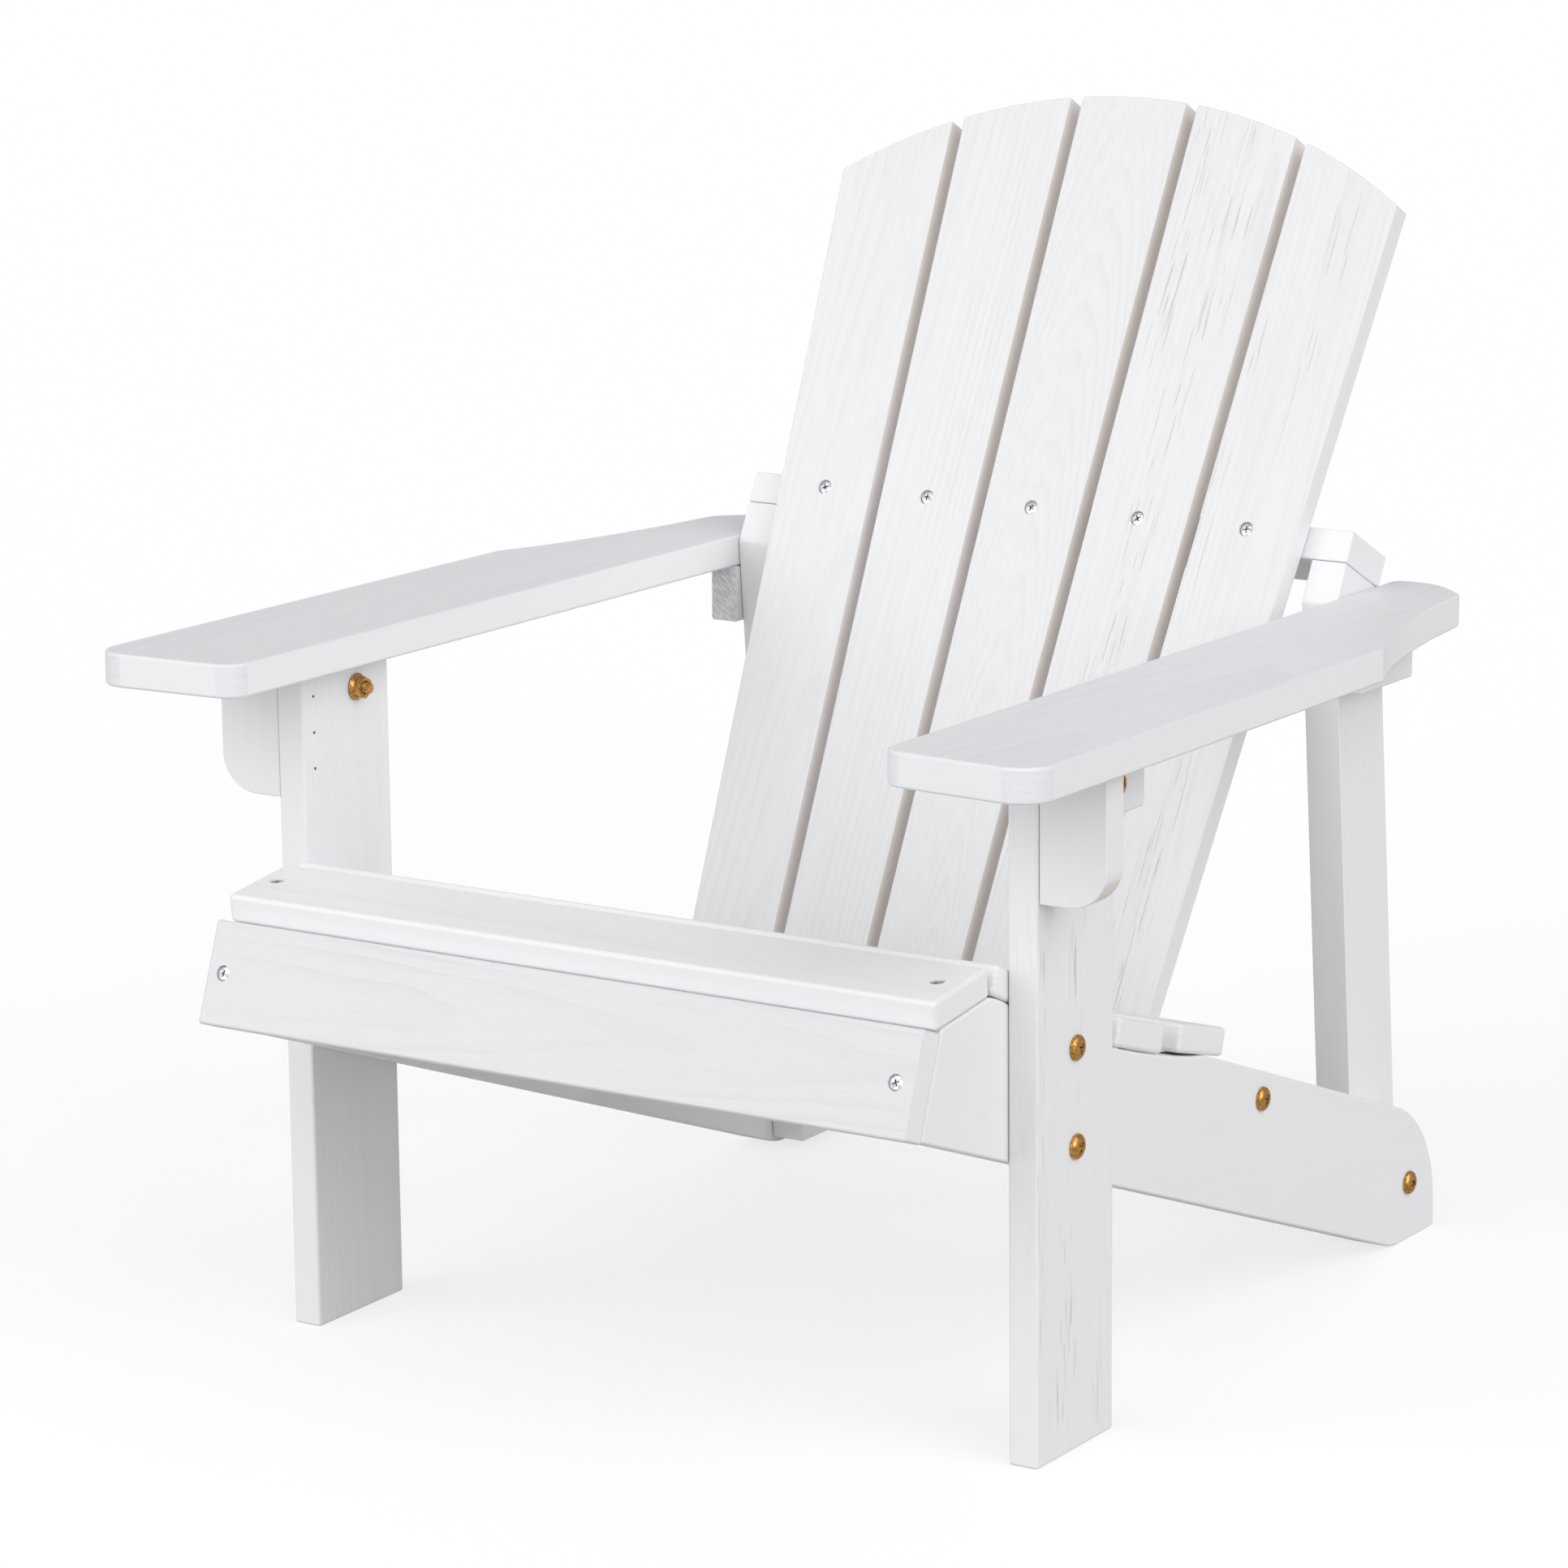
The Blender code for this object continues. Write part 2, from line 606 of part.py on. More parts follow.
def top_corner(index, side):
    up = BACK_RISE
    for _ in range(CORNER_TRIES):
        up = arch(slat_edge(index, up, side))
    return up


SLAT_TOE = -(LOWER_RAIL_BELOW + LOWER_RAIL_WIDTH / 2 + BACK_TOE)


def make_back_slats(material):
    made = []
    for index in range(BACK_SLAT_COUNT):
        right_up = top_corner(index, 1)
        left_up = top_corner(index, -1)
        left = slat_edge(index, left_up, -1)
        right = slat_edge(index, right_up, 1)
        outline = [
            Vector((slat_edge(index, SLAT_TOE, -1), SLAT_TOE)),
            Vector((slat_edge(index, SLAT_TOE, 1), SLAT_TOE)),
            Vector((right, right_up)),
        ]
        for i in range(1, ARCH_STEPS):
            x = right + (left - right) * i / ARCH_STEPS
            outline.append(Vector((x, arch(x))))
        outline.append(Vector((left, left_up)))
        name = f"back_slat_{index + 1}"
        made.append(sawn_board(name, outline, BACK_SLAT_THICKNESS, back_frame(SLAT_MIDDLE), material))
    return made


# ================================================================ fasteners
def bolt_profile(length):
    dome = [(BOLT_HEAD_RADIUS * out, BOLT_HEAD_HEIGHT * up) for out, up in DOME_SHAPE]
    return dome + [(BOLT_HEAD_RADIUS, GAP), (BOLT_RADIUS, GAP), (BOLT_RADIUS, -length), (0, -length)]


def bolt_hole(length):
    r = BOLT_RADIUS + FASTENER_CLEARANCE
    return [(0, BOLT_HEAD_HEIGHT), (r, BOLT_HEAD_HEIGHT), (r, -length), (0, -length)]


def screw_profile(length):
    top = -SCREW_SINK
    neck = top - SCREW_HEAD_HEIGHT
    return [
        (0, top), (SCREW_HEAD_RADIUS, top), (SCREW_RADIUS, neck),
        (SCREW_RADIUS, SCREW_POINT - length), (0, -length),
    ]


def screw_hole(length):
    wide = SCREW_HEAD_RADIUS + FASTENER_CLEARANCE
    narrow = SCREW_RADIUS + FASTENER_CLEARANCE
    floor = -SCREW_SINK - FASTENER_CLEARANCE
    neck = floor - SCREW_HEAD_HEIGHT
    return [
        (0, SCREW_SINK), (wide, SCREW_SINK), (wide, floor), (narrow, neck),
        (narrow, -length - FASTENER_CLEARANCE), (0, -length - FASTENER_CLEARANCE),
    ]


def screws(length, placed, boards, material):
    hardware(turned_mesh("screw", screw_profile(length), SCREW_SIDES), placed, material)
    holes = turned_mesh("screw_hole", screw_hole(length), SCREW_SIDES)
    drill(boards, hole_cutter("screw_holes", holes, placed.values()))


def bolts(length, placed, boards, material):
    hardware(turned_mesh("bolt", bolt_profile(length), BOLT_SIDES), placed, material)
    holes = turned_mesh("bolt_hole", bolt_hole(length + BOLT_TIP), BOLT_SIDES)
    cutter = hole_cutter("bolt_holes", holes, placed.values())
    drill(boards, cutter)
    return cutter


def nut_mesh():
    """Hexagon flange nut that stands on Z = 0, with a plain bore."""
    flange = turned_mesh("flange", [
        (0, NUT_FLANGE_HEIGHT), (NUT_FLANGE_RADIUS, NUT_FLANGE_HEIGHT), (NUT_FLANGE_RADIUS, 0), (0, 0),
    ], BOLT_SIDES)
    bore_radius = BOLT_RADIUS + FASTENER_CLEARANCE
    bore = turned_mesh("bore", [
        (0, 2 * NUT_HEIGHT), (bore_radius, 2 * NUT_HEIGHT), (bore_radius, -NUT_HEIGHT), (0, -NUT_HEIGHT),
    ], BOLT_SIDES)
    base = NUT_FLANGE_HEIGHT / 2
    bm = bmesh.new()
    corner = NUT_CORNER_RADIUS
    tall = NUT_HEIGHT - base
    bmesh.ops.create_cone(bm, cap_ends=True, segments=6, radius1=corner, radius2=corner, depth=tall)
    bmesh.ops.translate(bm, vec=(0, 0, (NUT_HEIGHT + base) / 2), verts=bm.verts)
    mesh = bpy.data.meshes.new("hexagon")
    bm.to_mesh(mesh)
    bm.free()
    hexagon = add_object("hexagon", mesh, cutters)
    washer = add_object("washer", flange, cutters)
    drill_bit = add_object("drill_bit", bore, cutters)
    join = hexagon.modifiers.new("washer", "BOOLEAN")
    join.operation = "UNION"
    join.object = washer
    drill([hexagon], drill_bit)
    bpy.context.view_layer.update()
    result = evaluated_mesh(hexagon)
    for obj in (hexagon, washer, drill_bit):
        bpy.data.objects.remove(obj, do_unlink=True)
    return result


def across(x, y, z, sign):
    """Bolt driven from outside, on one side of the chair."""
    return facing(Vector((sign * x, y, z)), Vector((sign, 0, 0)))


def seated_nut(x, y, z, sign):
    """Nut on an inner face of one side of the chair."""
    return facing(Vector((sign * (x - GAP), y, z)), Vector((-sign, 0, 0)))


def through_bolts(places, outer, inner, boards, steel, nut):
    """Bolts from the outer face to nuts on the inner face on both sides, at (y, z) places."""
    length = outer - inner + GAP + NUT_HEIGHT + BOLT_TIP
    bolt_spots = {}
    nut_spots = {}
    for name, (y, z) in places.items():
        for side, sign in SIDES:
            bolt_spots[f"{name}_bolt_{side}"] = across(outer, y, z, sign)
            nut_spots[f"{name}_nut_{side}"] = seated_nut(inner, y, z, sign)
    bolts(length, bolt_spots, boards, steel)
    hardware(nut, nut_spots, steel)


def fasten_sides(wood, steel):
    """Bolts and flange nuts that hold the legs, the posts and the armrests' cleats."""
    nut = nut_mesh()
    nut.shade_flat()
    legs = list(wood["legs"].values())
    posts = list(wood["posts"].values())
    rails = list(wood["rails"].values())
    half_rail = RAIL_WIDTH / math.cos(math.radians(RAIL_TILT)) / 2
    rail_height = at_depth(RAIL_NOSE, RAIL_DOWN, LEG_WIDTH / 2).y + half_rail
    leg_places = {
        "upper_leg": (LEG_WIDTH / 2, rail_height + LEG_BOLT_SPACING / 2),
        "lower_leg": (LEG_WIDTH / 2, rail_height - LEG_BOLT_SPACING / 2),
    }
    through_bolts(leg_places, LEG_OUTER, RAIL_INNER, legs + rails, steel, nut)
    front = {"front_cleat": cleat_frame(0, FRONT_CLEAT_Y).translation.yz}
    through_bolts(front, FRONT_CLEAT_OUTER, LEG_INNER, wood["front_cleats"] + legs, steel, nut)
    rear = {"rear_cleat": cleat_frame(0, REAR_CLEAT_Y).translation.yz}
    through_bolts(rear, REAR_CLEAT_OUTER, POST_INNER, wood["rear_cleats"] + posts, steel, nut)
    post = (post_middle(POST_BOLT_HEIGHT), POST_BOLT_HEIGHT)
    through_bolts({"post": post}, RAIL_OUTER, POST_INNER, rails + posts, steel, nut)


def fasten_lower_rail(rails, lower_rail, steel):
    """Bolts through the side rails into barrel nuts inside the lower back rail's ends."""
    axis = LOWER_RAIL_MIDDLE + BACK_UP * BARREL_RISE
    length = RAIL_THICKNESS + GAP + BARREL_INSET + BARREL_RADIUS
    spots = {f"back_rail_bolt_{side}": across(RAIL_OUTER, *axis, sign) for side, sign in SIDES}
    bolt_holes = bolts(length, spots, rails + [lower_rail], steel)

    barrel_x = RAIL_INNER - GAP - BARREL_INSET
    half = BARREL_LENGTH / 2
    spots = {
        f"back_rail_barrel_nut_{side}": lying_frame(axis, BACK_UP, -BACK_IN, sign * barrel_x)
        for side, sign in SIDES
    }
    profile = [(0, half), (BARREL_RADIUS, half), (BARREL_RADIUS, -half), (0, -half)]
    drill(hardware(turned_mesh("barrel_nut", profile, BOLT_SIDES), spots, steel), bolt_holes)
    wide = BARREL_RADIUS + FASTENER_CLEARANCE
    floor = half + FASTENER_CLEARANCE
    mouth = -LOWER_RAIL_THICKNESS
    hole = turned_mesh("barrel_hole", [(0, floor), (wide, floor), (wide, mouth), (0, mouth)], BOLT_SIDES)
    drill([lower_rail], hole_cutter("barrel_holes", hole, spots.values()))


def fasten_front(apron, rails, steel):
    face = APRON_MIDDLE - RAIL_DOWN * (APRON_THICKNESS / 2)
    spots = {
        f"apron_screw_{side}": facing(Vector((sign * RAIL_MIDDLE, face.x, face.y)), side_vector(-RAIL_DOWN))
        for side, sign in SIDES
    }
    screws(APRON_SCREW_LENGTH, spots, [apron] + rails, steel)


def fasten_back(back_slats, crossbar, posts, steel):
    face = SLAT_MIDDLE - BACK_IN * (BACK_SLAT_THICKNESS / 2)
    spots = {}
    for index in range(BACK_SLAT_COUNT):
        x = (index - (BACK_SLAT_COUNT - 1) / 2) * back_pitch(0)
        spots[f"back_slat_screw_{index + 1}"] = facing(Vector((x, face.x, face.y)), side_vector(-BACK_IN))
    screws(BACK_SCREW_LENGTH, spots, back_slats + [crossbar], steel)

    top = CROSSBAR_MIDDLE + BACK_IN * (CROSSBAR_DEPTH / 2) + BACK_UP * (CROSSBAR_THICKNESS / 2)
    spots = {
        f"crossbar_screw_{side}": facing(Vector((sign * POST_MIDDLE, top.x, top.y)), side_vector(BACK_UP))
        for side, sign in SIDES
    }
    screws(CROSSBAR_SCREW_LENGTH, spots, [crossbar] + posts, steel)


def centre_on_ground():
    """Slide along Y that centres the finished chair's box on the origin."""
    apron_foot = RAIL_NOSE - RAIL_DOWN * (GAP + APRON_THICKNESS) + RAIL_UP * (EASE - APRON_DROP)
    crown = SLAT_MIDDLE + BACK_IN * (BACK_SLAT_THICKNESS / 2) + BACK_UP * (arch(0) - EASE)
    front = min(apron_foot.x, -ARM_OVERHANG - ARM_NOSE)
    rear = max(crown.x, RAIL_END_Y)
    return -(front + rear) / 2


def main():
    clear_scene()
    bpy.context.scene.collection.children.link(parts)
    bpy.context.scene.collection.children.link(cutters)
    painted = paint("painted_wood", (0.84, 0.85, 0.87), 0.55, 0.0)
    yellow_zinc = paint("yellow_zinc_steel", (0.70, 0.50, 0.20), 0.32, 1.0)
    bright_zinc = paint("bright_zinc_steel", (0.72, 0.73, 0.75), 0.30, 1.0)

    front = (FRONT_CLEAT_OUTER, FRONT_CLEAT_LENGTH, FRONT_CLEAT_Y)
    rear = (REAR_CLEAT_OUTER, REAR_CLEAT_LENGTH, REAR_CLEAT_Y)
    wood = {
        "rails": make_rails(painted),
        "legs": make_legs(painted),
        "posts": make_posts(painted),
        "front_cleats": make_cleats("front", *front, painted),
        "rear_cleats": make_cleats("rear", *rear, painted),
    }
    make_arms(painted)
    make_brackets(painted)
    make_seat(painted)
    apron = make_apron(painted)
    crossbar, lower_rail = make_back_rails(painted)
    back_slats = make_back_slats(painted)

    rails = list(wood["rails"].values())
    fasten_sides(wood, yellow_zinc)
    fasten_lower_rail(rails, lower_rail, yellow_zinc)
    fasten_front(apron, rails, bright_zinc)
    fasten_back(back_slats, crossbar, list(wood["posts"].values()), bright_zinc)

    middle = bpy.data.objects.new("chair_middle", None)
    middle.location.y = centre_on_ground()
    parts.objects.link(middle)
    for obj in list(parts.objects) + list(cutters.objects):
        if obj != middle:
            obj.parent = middle
    bpy.context.view_layer.update()


main()
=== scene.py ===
import math
import random

import bmesh
import bpy
from bpy.props import FloatProperty, FloatVectorProperty, PointerProperty
from mathutils import Matrix, Vector
from mathutils.geometry import interpolate_bezier


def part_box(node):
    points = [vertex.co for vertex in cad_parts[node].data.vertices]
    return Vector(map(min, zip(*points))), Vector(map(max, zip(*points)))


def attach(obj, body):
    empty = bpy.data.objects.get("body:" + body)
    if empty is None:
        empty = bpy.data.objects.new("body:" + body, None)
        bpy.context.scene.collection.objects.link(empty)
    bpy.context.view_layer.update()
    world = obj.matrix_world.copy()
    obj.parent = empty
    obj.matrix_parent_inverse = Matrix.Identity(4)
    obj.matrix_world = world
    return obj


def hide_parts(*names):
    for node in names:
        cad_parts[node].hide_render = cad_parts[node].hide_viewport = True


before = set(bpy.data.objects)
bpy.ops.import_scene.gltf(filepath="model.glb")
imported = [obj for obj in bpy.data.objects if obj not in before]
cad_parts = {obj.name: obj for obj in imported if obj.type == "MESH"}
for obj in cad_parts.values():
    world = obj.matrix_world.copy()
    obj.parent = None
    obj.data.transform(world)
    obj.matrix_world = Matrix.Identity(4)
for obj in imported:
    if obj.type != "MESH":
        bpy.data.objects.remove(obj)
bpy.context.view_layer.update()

bl_info = {
    "name": "Painted Adirondack Chair",
    "version": (1, 0, 0),
    "blender": (4, 5, 0),
    "location": "3D View > Sidebar > Chair",
    "description": "Finishes a child's adirondack chair: painted boards, bolts, screws and a studio",
    "category": "Object",
}

MM = 0.001
BODY = "root"
SIDES = (("left", 1), ("right", -1))

# measuring the boards
MERGE = 0.01 * MM            # points closer than this are one point
CHAMFER = 2.2 * MM           # width of the chamfers on the measured boards' edges
CHAMFER_SLACK = 0.03 * MM
LONGEST_CHAMFER = 4.6 * MM   # a longer side of an outline isn't a corner's chamfer
CORNER_TURN = math.radians(17)
GENTLE_TURN = math.radians(20)
LONGEST_ARC_STEP = 30 * MM   # a longer side of an outline is straight
ARC_CUTS = 3                 # points added to each side of a curve
SMALL_FACE = 15 * MM * MM    # smaller faces belong to a rounded edge
SAME_DIRECTION = 2           # digits to which two faces' normals agree

# making the boards
ROUND_SEGMENTS = 4
ROUND_ANGLE = math.radians(24)
SMOOTH_ANGLE = math.radians(40)
FLAT_FACE_WEIGHT = 60
PITH_ACROSS = 60 * MM        # how far the log's heart may lie to either side of a board
PITH_BELOW = (50 * MM, 120 * MM)
LOG_LENGTH = 3.0
LEAN = (0.02, 0.03)          # how far a board may run out of its log's line, per metre

# how normals pick faces
SIDEWAYS = 0.1               # a narrow side's normal leans less than this to the board's thickness
FACING_GAP = 0.9
FACING_DOWN = -0.35
FACING_FRONT = -0.8

# grain: repeats per metre along the log and across it both ways
SLOW_WAVES = (3.5, 22, 22)
QUICK_WAVES = (26, 120, 120)
RING_PATCHES = (5, 45, 45)
FIBRES = (11, 950, 950)
CHECK_BEDS = (2.0, 40, 40)
CHECK_STREAKS = (26, 900, 900)
TONE_DRIFT = (3, 12, 12)
TORN_FIBRES = (0, 240, 900)

# grain: shares of each effect
SLOW_SHARE = 2.4
QUICK_SHARE = 0.35
LATE_WOOD = (0.35, 0.93)     # where in a ring the dense wood starts and is densest
RING_SHARE = 0.7
FIBRE_SHARE = 0.45
CHECK_GAIN = 0.075           # how many more streaks open where checks are asked for
CHECK_RELIEF = 1.6
TORN_RELIEF = 3.0
SIDE_CALM = 0.85             # how much of the grain a narrow side lacks
GROOVE_TINT = 0.30
CRACK_TINT = 0.75
TONE_TINT = 0.06
PAINT_ROUGHNESS = (0.46, 0.66)
GRAIN_BUMP = 0.55

# plating
MOTTLE_SCALE = 600.0
MOTTLE_ROUGHNESS = 0.18
MOTTLE_BUMP = 0.25
MOTTLE_RELIEF = 0.05 * MM
YELLOW_ROUGHNESS = 0.28
BRIGHT_ROUGHNESS = 0.30
BRAD_ROUGHNESS = 0.5

# screws
SCREW_HEAD = 3.6 * MM
SCREW_SHANK = 1.9 * MM
SCREW_SINK = 0.9 * MM
CAD_SCREW_SINK = 1.4 * MM    # the replaced screws' heads lie this deep
SCREW_SHOULDER = 2.6 * MM
SCREW_ROOM = 0.35 * MM
SCREW_POINT = 5 * MM
SCREW_RECESS = (4.0 * MM, 0.95 * MM)
SCREW_TURN = 0.37            # the first screw's turn and the step to the next, so no two recesses line up
SCREW_TURN_STEP = 1.13
SINK_REACH = 3 * MM          # how far a cutter stands out of the face that it cuts
HEAD_SLACK = 0.1 * MM
APRON_SCREW = 45 * MM
CROSSBAR_SCREW = 45 * MM
UPPER_BACK_SCREW = 35 * MM
LOWER_BACK_SCREW = 25 * MM
SLAT_FOOT = 5 * MM           # points this near the lowest one are a slat's foot
SEAT_SCREW = 40 * MM
ARM_SCREW = 42 * MM
ARM_SCREW_SPACING = 36 * MM
SEAT_SCREW_WANDER = 3.5 * MM
BRAD_RADIUS = 0.8 * MM
BRAD_LENGTH = 34 * MM
BRAD_CROWN = 0.15 * MM
BRAD_POINT = 2 * MM
BRAD_PITCH = 18.5 * MM
BRAD_TOP = 14.5 * MM
BRADS = 3

# bolts
DOME_RADIUS = 6.3 * MM
DOME_HEIGHT = 3.7 * MM
DOME_BASE = 0.3 * MM         # the dome's rim stands this far off the board
DOME_RIM = 0.5 * MM
DOME_STEPS = 8
BOLT_RECESS = (6.4 * MM, 1.5 * MM)
BOLT_RECESS_DEPTH = 2.4 * MM
BOLT_TURN = 0.4
BOLT_TURN_STEP = 0.7
BOLT_SHANK = 3.0 * MM
THREAD_DEPTH = 0.35 * MM
THREAD_PITCH = 1.0 * MM
THREAD_LENGTH = 12 * MM
NUT_HEIGHT = 6.0 * MM
NUT_FLANGE = 7.0 * MM
NUT_FLANGE_HEIGHT = 1.3 * MM
NUT_FLANGE_RISE = 0.9 * MM
NUT_RIM = 0.35 * MM
NUT_CORNER = 5.8 * MM
NUT_EASE = 0.45 * MM
NUT_ROOM = 0.12 * MM
ROUND_STEPS = 40
SCREW_STEPS = 28
BRAD_STEPS = 16

# studio
FLOOR_REACH = 40
FLOOR_SQUARES = 8
FLOOR_ROUGHNESS = 0.9
FLOOR_SHEEN = 0.1
FLOOR_BOUNCE = 0.3           # share of the floor's glow that lights the chair from below
SUN_SPREAD = math.radians(60)
FRONT_LIGHT_FROM = (-0.35, -0.82, 0.45)
SIDE_LIGHT_FROM = (0.83, -0.20, 0.52)
FILL_SIZE = 1.0
FILL_PLACE = (-1.3, -1.7, 0.6)
FILL_FROM = (-1.1, -1.6, 0.3)
CAMERA_ASIDE = 1.5574
CAMERA_AHEAD = 2.2923        # measured from the front legs' faces
CAMERA_HEIGHT = 0.9394
SENSOR_WIDTH = 36
FARTHEST = 200


# ---------- settings
def tint(name, description, default):
    return FloatVectorProperty(
        name=name, description=description, default=default, subtype="COLOR", min=0, max=1
    )


def length(name, description, default):
    return FloatProperty(
        name=name, description=description, default=default, min=0, subtype="DISTANCE", unit="LENGTH"
    )


def strength(name, description, default):
    return FloatProperty(name=name, description=description, default=default, min=0)


def angle(name, description, degrees):
    return FloatProperty(name=name, description=description, default=math.radians(degrees), subtype="ANGLE")


class BoardSettings(bpy.types.PropertyGroup):
    """Paint and edges of the boards"""

    paint: tint("Paint", "White paint on most of the boards", (0.86, 0.86, 0.878))
    # The back slats' paint is the white paint made darker: it paints shade on the slats' broad faces.
    back_shade_paint: tint("Back paint", "White paint on the back slats", (0.80, 0.80, 0.817))
    # The apron's paint is the white paint made darker: it paints the apron's shade.
    apron_shade_paint: tint("Apron paint", "White paint on the apron", (0.74, 0.74, 0.757))
    # A darker, cooler copy of the white paint for the armrests' broad faces: painted shade with a cool
    # cast.
    arm_cool_shade_paint: tint("Armrest paint", "Cooler white on the armrests' broad faces", (0.80, 0.815, 0.84))
    groove: tint("Grooves", "Paint in the brushed hollows of the grain", (0.60, 0.61, 0.64))
    crack: tint("Cracks", "Dark in the short checks of the wood", (0.30, 0.29, 0.28))
    # Tan of thinly painted wood, darkened as painted shade, on the sides in the gaps between the back slats
    # and under the brackets.
    bare_wood_and_shade: tint("Bare wood", "Thinly painted wood between the back slats", (0.74, 0.65, 0.57))
    sawn_wood: tint("Sawn wood", "Torn end grain of the rear cleats", (0.55, 0.54, 0.50))
    edge_radius: length("Edge radius", "Rounding of the seat slats' edges", 2.4 * MM)
    eased_radius: length("Eased edge radius", "Rounding of the frame boards' edges", 1.5 * MM)
    crisp_radius: length("Crisp edge radius", "Rounding of the back slats' and brackets' edges", 0.8 * MM)
    relief: length("Relief", "Depth of the brushed grain", 0.30 * MM)


class HardwareSettings(bpy.types.PropertyGroup):
    """Plating of the fasteners"""

    yellow: tint("Yellow zinc", "Plating of the bolts and nuts", (0.70, 0.385, 0.12))
    yellow_dark: tint("Yellow zinc, worn", "Darker patches of the yellow plating", (0.40, 0.20, 0.055))
    bright: tint("Bright zinc", "Plating of the screws and brads", (0.62, 0.63, 0.65))
    bright_dark: tint("Bright zinc, dull", "Duller patches of the bright plating", (0.38, 0.39, 0.41))
    brad: tint("Brad steel", "Steel of the brackets' brads", (0.16, 0.15, 0.14))
    brad_dark: tint("Brad steel, dark", "Darker patches of the brads", (0.09, 0.08, 0.08))


class StudioSettings(bpy.types.PropertyGroup):
    """Floor, lights and camera"""

    floor: tint("Floor", "Colour of the floor", (0.35, 0.35, 0.35))
    floor_glow: strength("Floor glow", "Whitening of the seen floor", 0.675)
    sky: strength("Surrounding light", "Strength of the even light", 0.46)
    front: strength("Front light", "Soft light from the front and left", 1.30)
    side: strength("Side light", "Soft light from the right", 1.52)
    fill: strength("Fill light", "Power of the near light at the left", 2.2)
    azimuth: angle("Azimuth", "Camera's turn round the chair", 32.78)
    elevation: angle("Elevation", "Camera's height angle", 12.85)
    roll: angle("Roll", "Camera's lean", -0.589)
    lens: FloatProperty(
        name="Lens", description="Focal length on a 36 mm frame", default=135.56, subtype="DISTANCE_CAMERA"
    )


# ---------- measuring the CAD boards
class Board:
    """A board's own frame and outline: X runs along it, Y across it and Z through its thickness."""

    def __init__(self, node):
        bm = bmesh.new()
        bm.from_mesh(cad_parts[node].data)
        bmesh.ops.remove_doubles(bm, verts=bm.verts, dist=MERGE)
        through = broadest_direction(bm)
        depths = [v.co.dot(through) for v in bm.verts]
        top, bottom = max(depths), min(depths)
        self.node = node
        self.thickness = top - bottom
        ring = ring_at(bm, through, top - CHAMFER)
        bm.free()
        along = longest_step(ring)
        along = (along - through * along.dot(through)).normalized()
        across = through.cross(along)
        rotation = Matrix((along, across, through)).transposed()
        flat = [Vector((p.dot(along), p.dot(across))) for p in ring]
        low = Vector((min(p.x for p in flat), min(p.y for p in flat)))
        high = Vector((max(p.x for p in flat), max(p.y for p in flat)))
        middle = (low + high) / 2
        self.size = high - low
        centre = rotation @ Vector((*middle, (top + bottom) / 2))
        self.matrix = Matrix.Translation(centre) @ rotation.to_4x4()
        flat = [p - middle for p in flat]
        if signed_area(flat) < 0:
            flat.reverse()
        self.outline = squared(flat)
        self.along, self.across, self.through = along, across, through

    def point(self, x, y, z):
        return self.matrix @ Vector((x, y, z))


def broadest_direction(bm):
    """Normal of the broadest faces, pointing to the positive side of its main axis."""
    sums = {}
    for face in bm.faces:
        normal = face.normal
        if max(normal, key=abs) < 0:
            normal = -normal
        key = tuple(round(c, SAME_DIRECTION) for c in normal)
        total = sums.setdefault(key, [0.0, Vector()])
        total[0] += face.calc_area()
        total[1] += normal * face.calc_area()
    return max(sums.values(), key=lambda total: total[0])[1].normalized()


def ring_at(bm, through, level):
    """The board's outline: the closed loop of points at one depth."""
    on_level = {v for v in bm.verts if abs(v.co.dot(through) - level) < CHAMFER_SLACK}
    near = {v: [e.other_vert(v) for e in v.link_edges if e.other_vert(v) in on_level] for v in on_level}
    start = min((v for v in on_level if len(near[v]) == 2), key=lambda v: tuple(v.co))
    ring = [start]
    while True:
        onward = [v for v in near[ring[-1]] if v not in ring]
        if not onward:
            return [v.co.copy() for v in ring]
        ring.append(onward[0])


def longest_step(points):
    """Longest side of the loop, pointing to the positive side of its main axis."""
    steps = [b - a for a, b in zip(points, points[1:] + points[:1])]
    longest = max(steps, key=lambda step: step.length)
    return longest if max(longest, key=abs) > 0 else -longest


def signed_area(points):
    return sum(a.x * b.y - b.x * a.y for a, b in zip(points, points[1:] + points[:1])) / 2


def sides_of(points):
    return [points[(i + 1) % len(points)] - points[i] for i in range(len(points))]


def squared(points):
    """The outline with each corner's chamfer drawn out to the sharp corner."""
    count = len(points)
    sides = sides_of(points)
    chamfered = []
    for i, side in enumerate(sides):
        before, after = sides[i - 1], sides[(i + 1) % count]
        turns = min(before.angle(side), side.angle(after))
        chamfered.append(side.length < LONGEST_CHAMFER and turns > CORNER_TURN)
    outline = []
    for i, point in enumerate(points):
        if chamfered[i - 1]:
            continue
        if not chamfered[i]:
            outline.append(point)
            continue
        a, b = points[i], points[(i + 1) % count]
        before, after = sides[i - 1], sides[(i + 1) % count]
        outline.append(crossing(a, before, b, after))
    return outline


def crossing(p, p_side, q, q_side):
    """Where the line through p along its side meets the one through q."""
    turn = p_side.x * q_side.y - p_side.y * q_side.x
    gap = q - p
    return p + p_side * ((gap.x * q_side.y - gap.y * q_side.x) / turn)


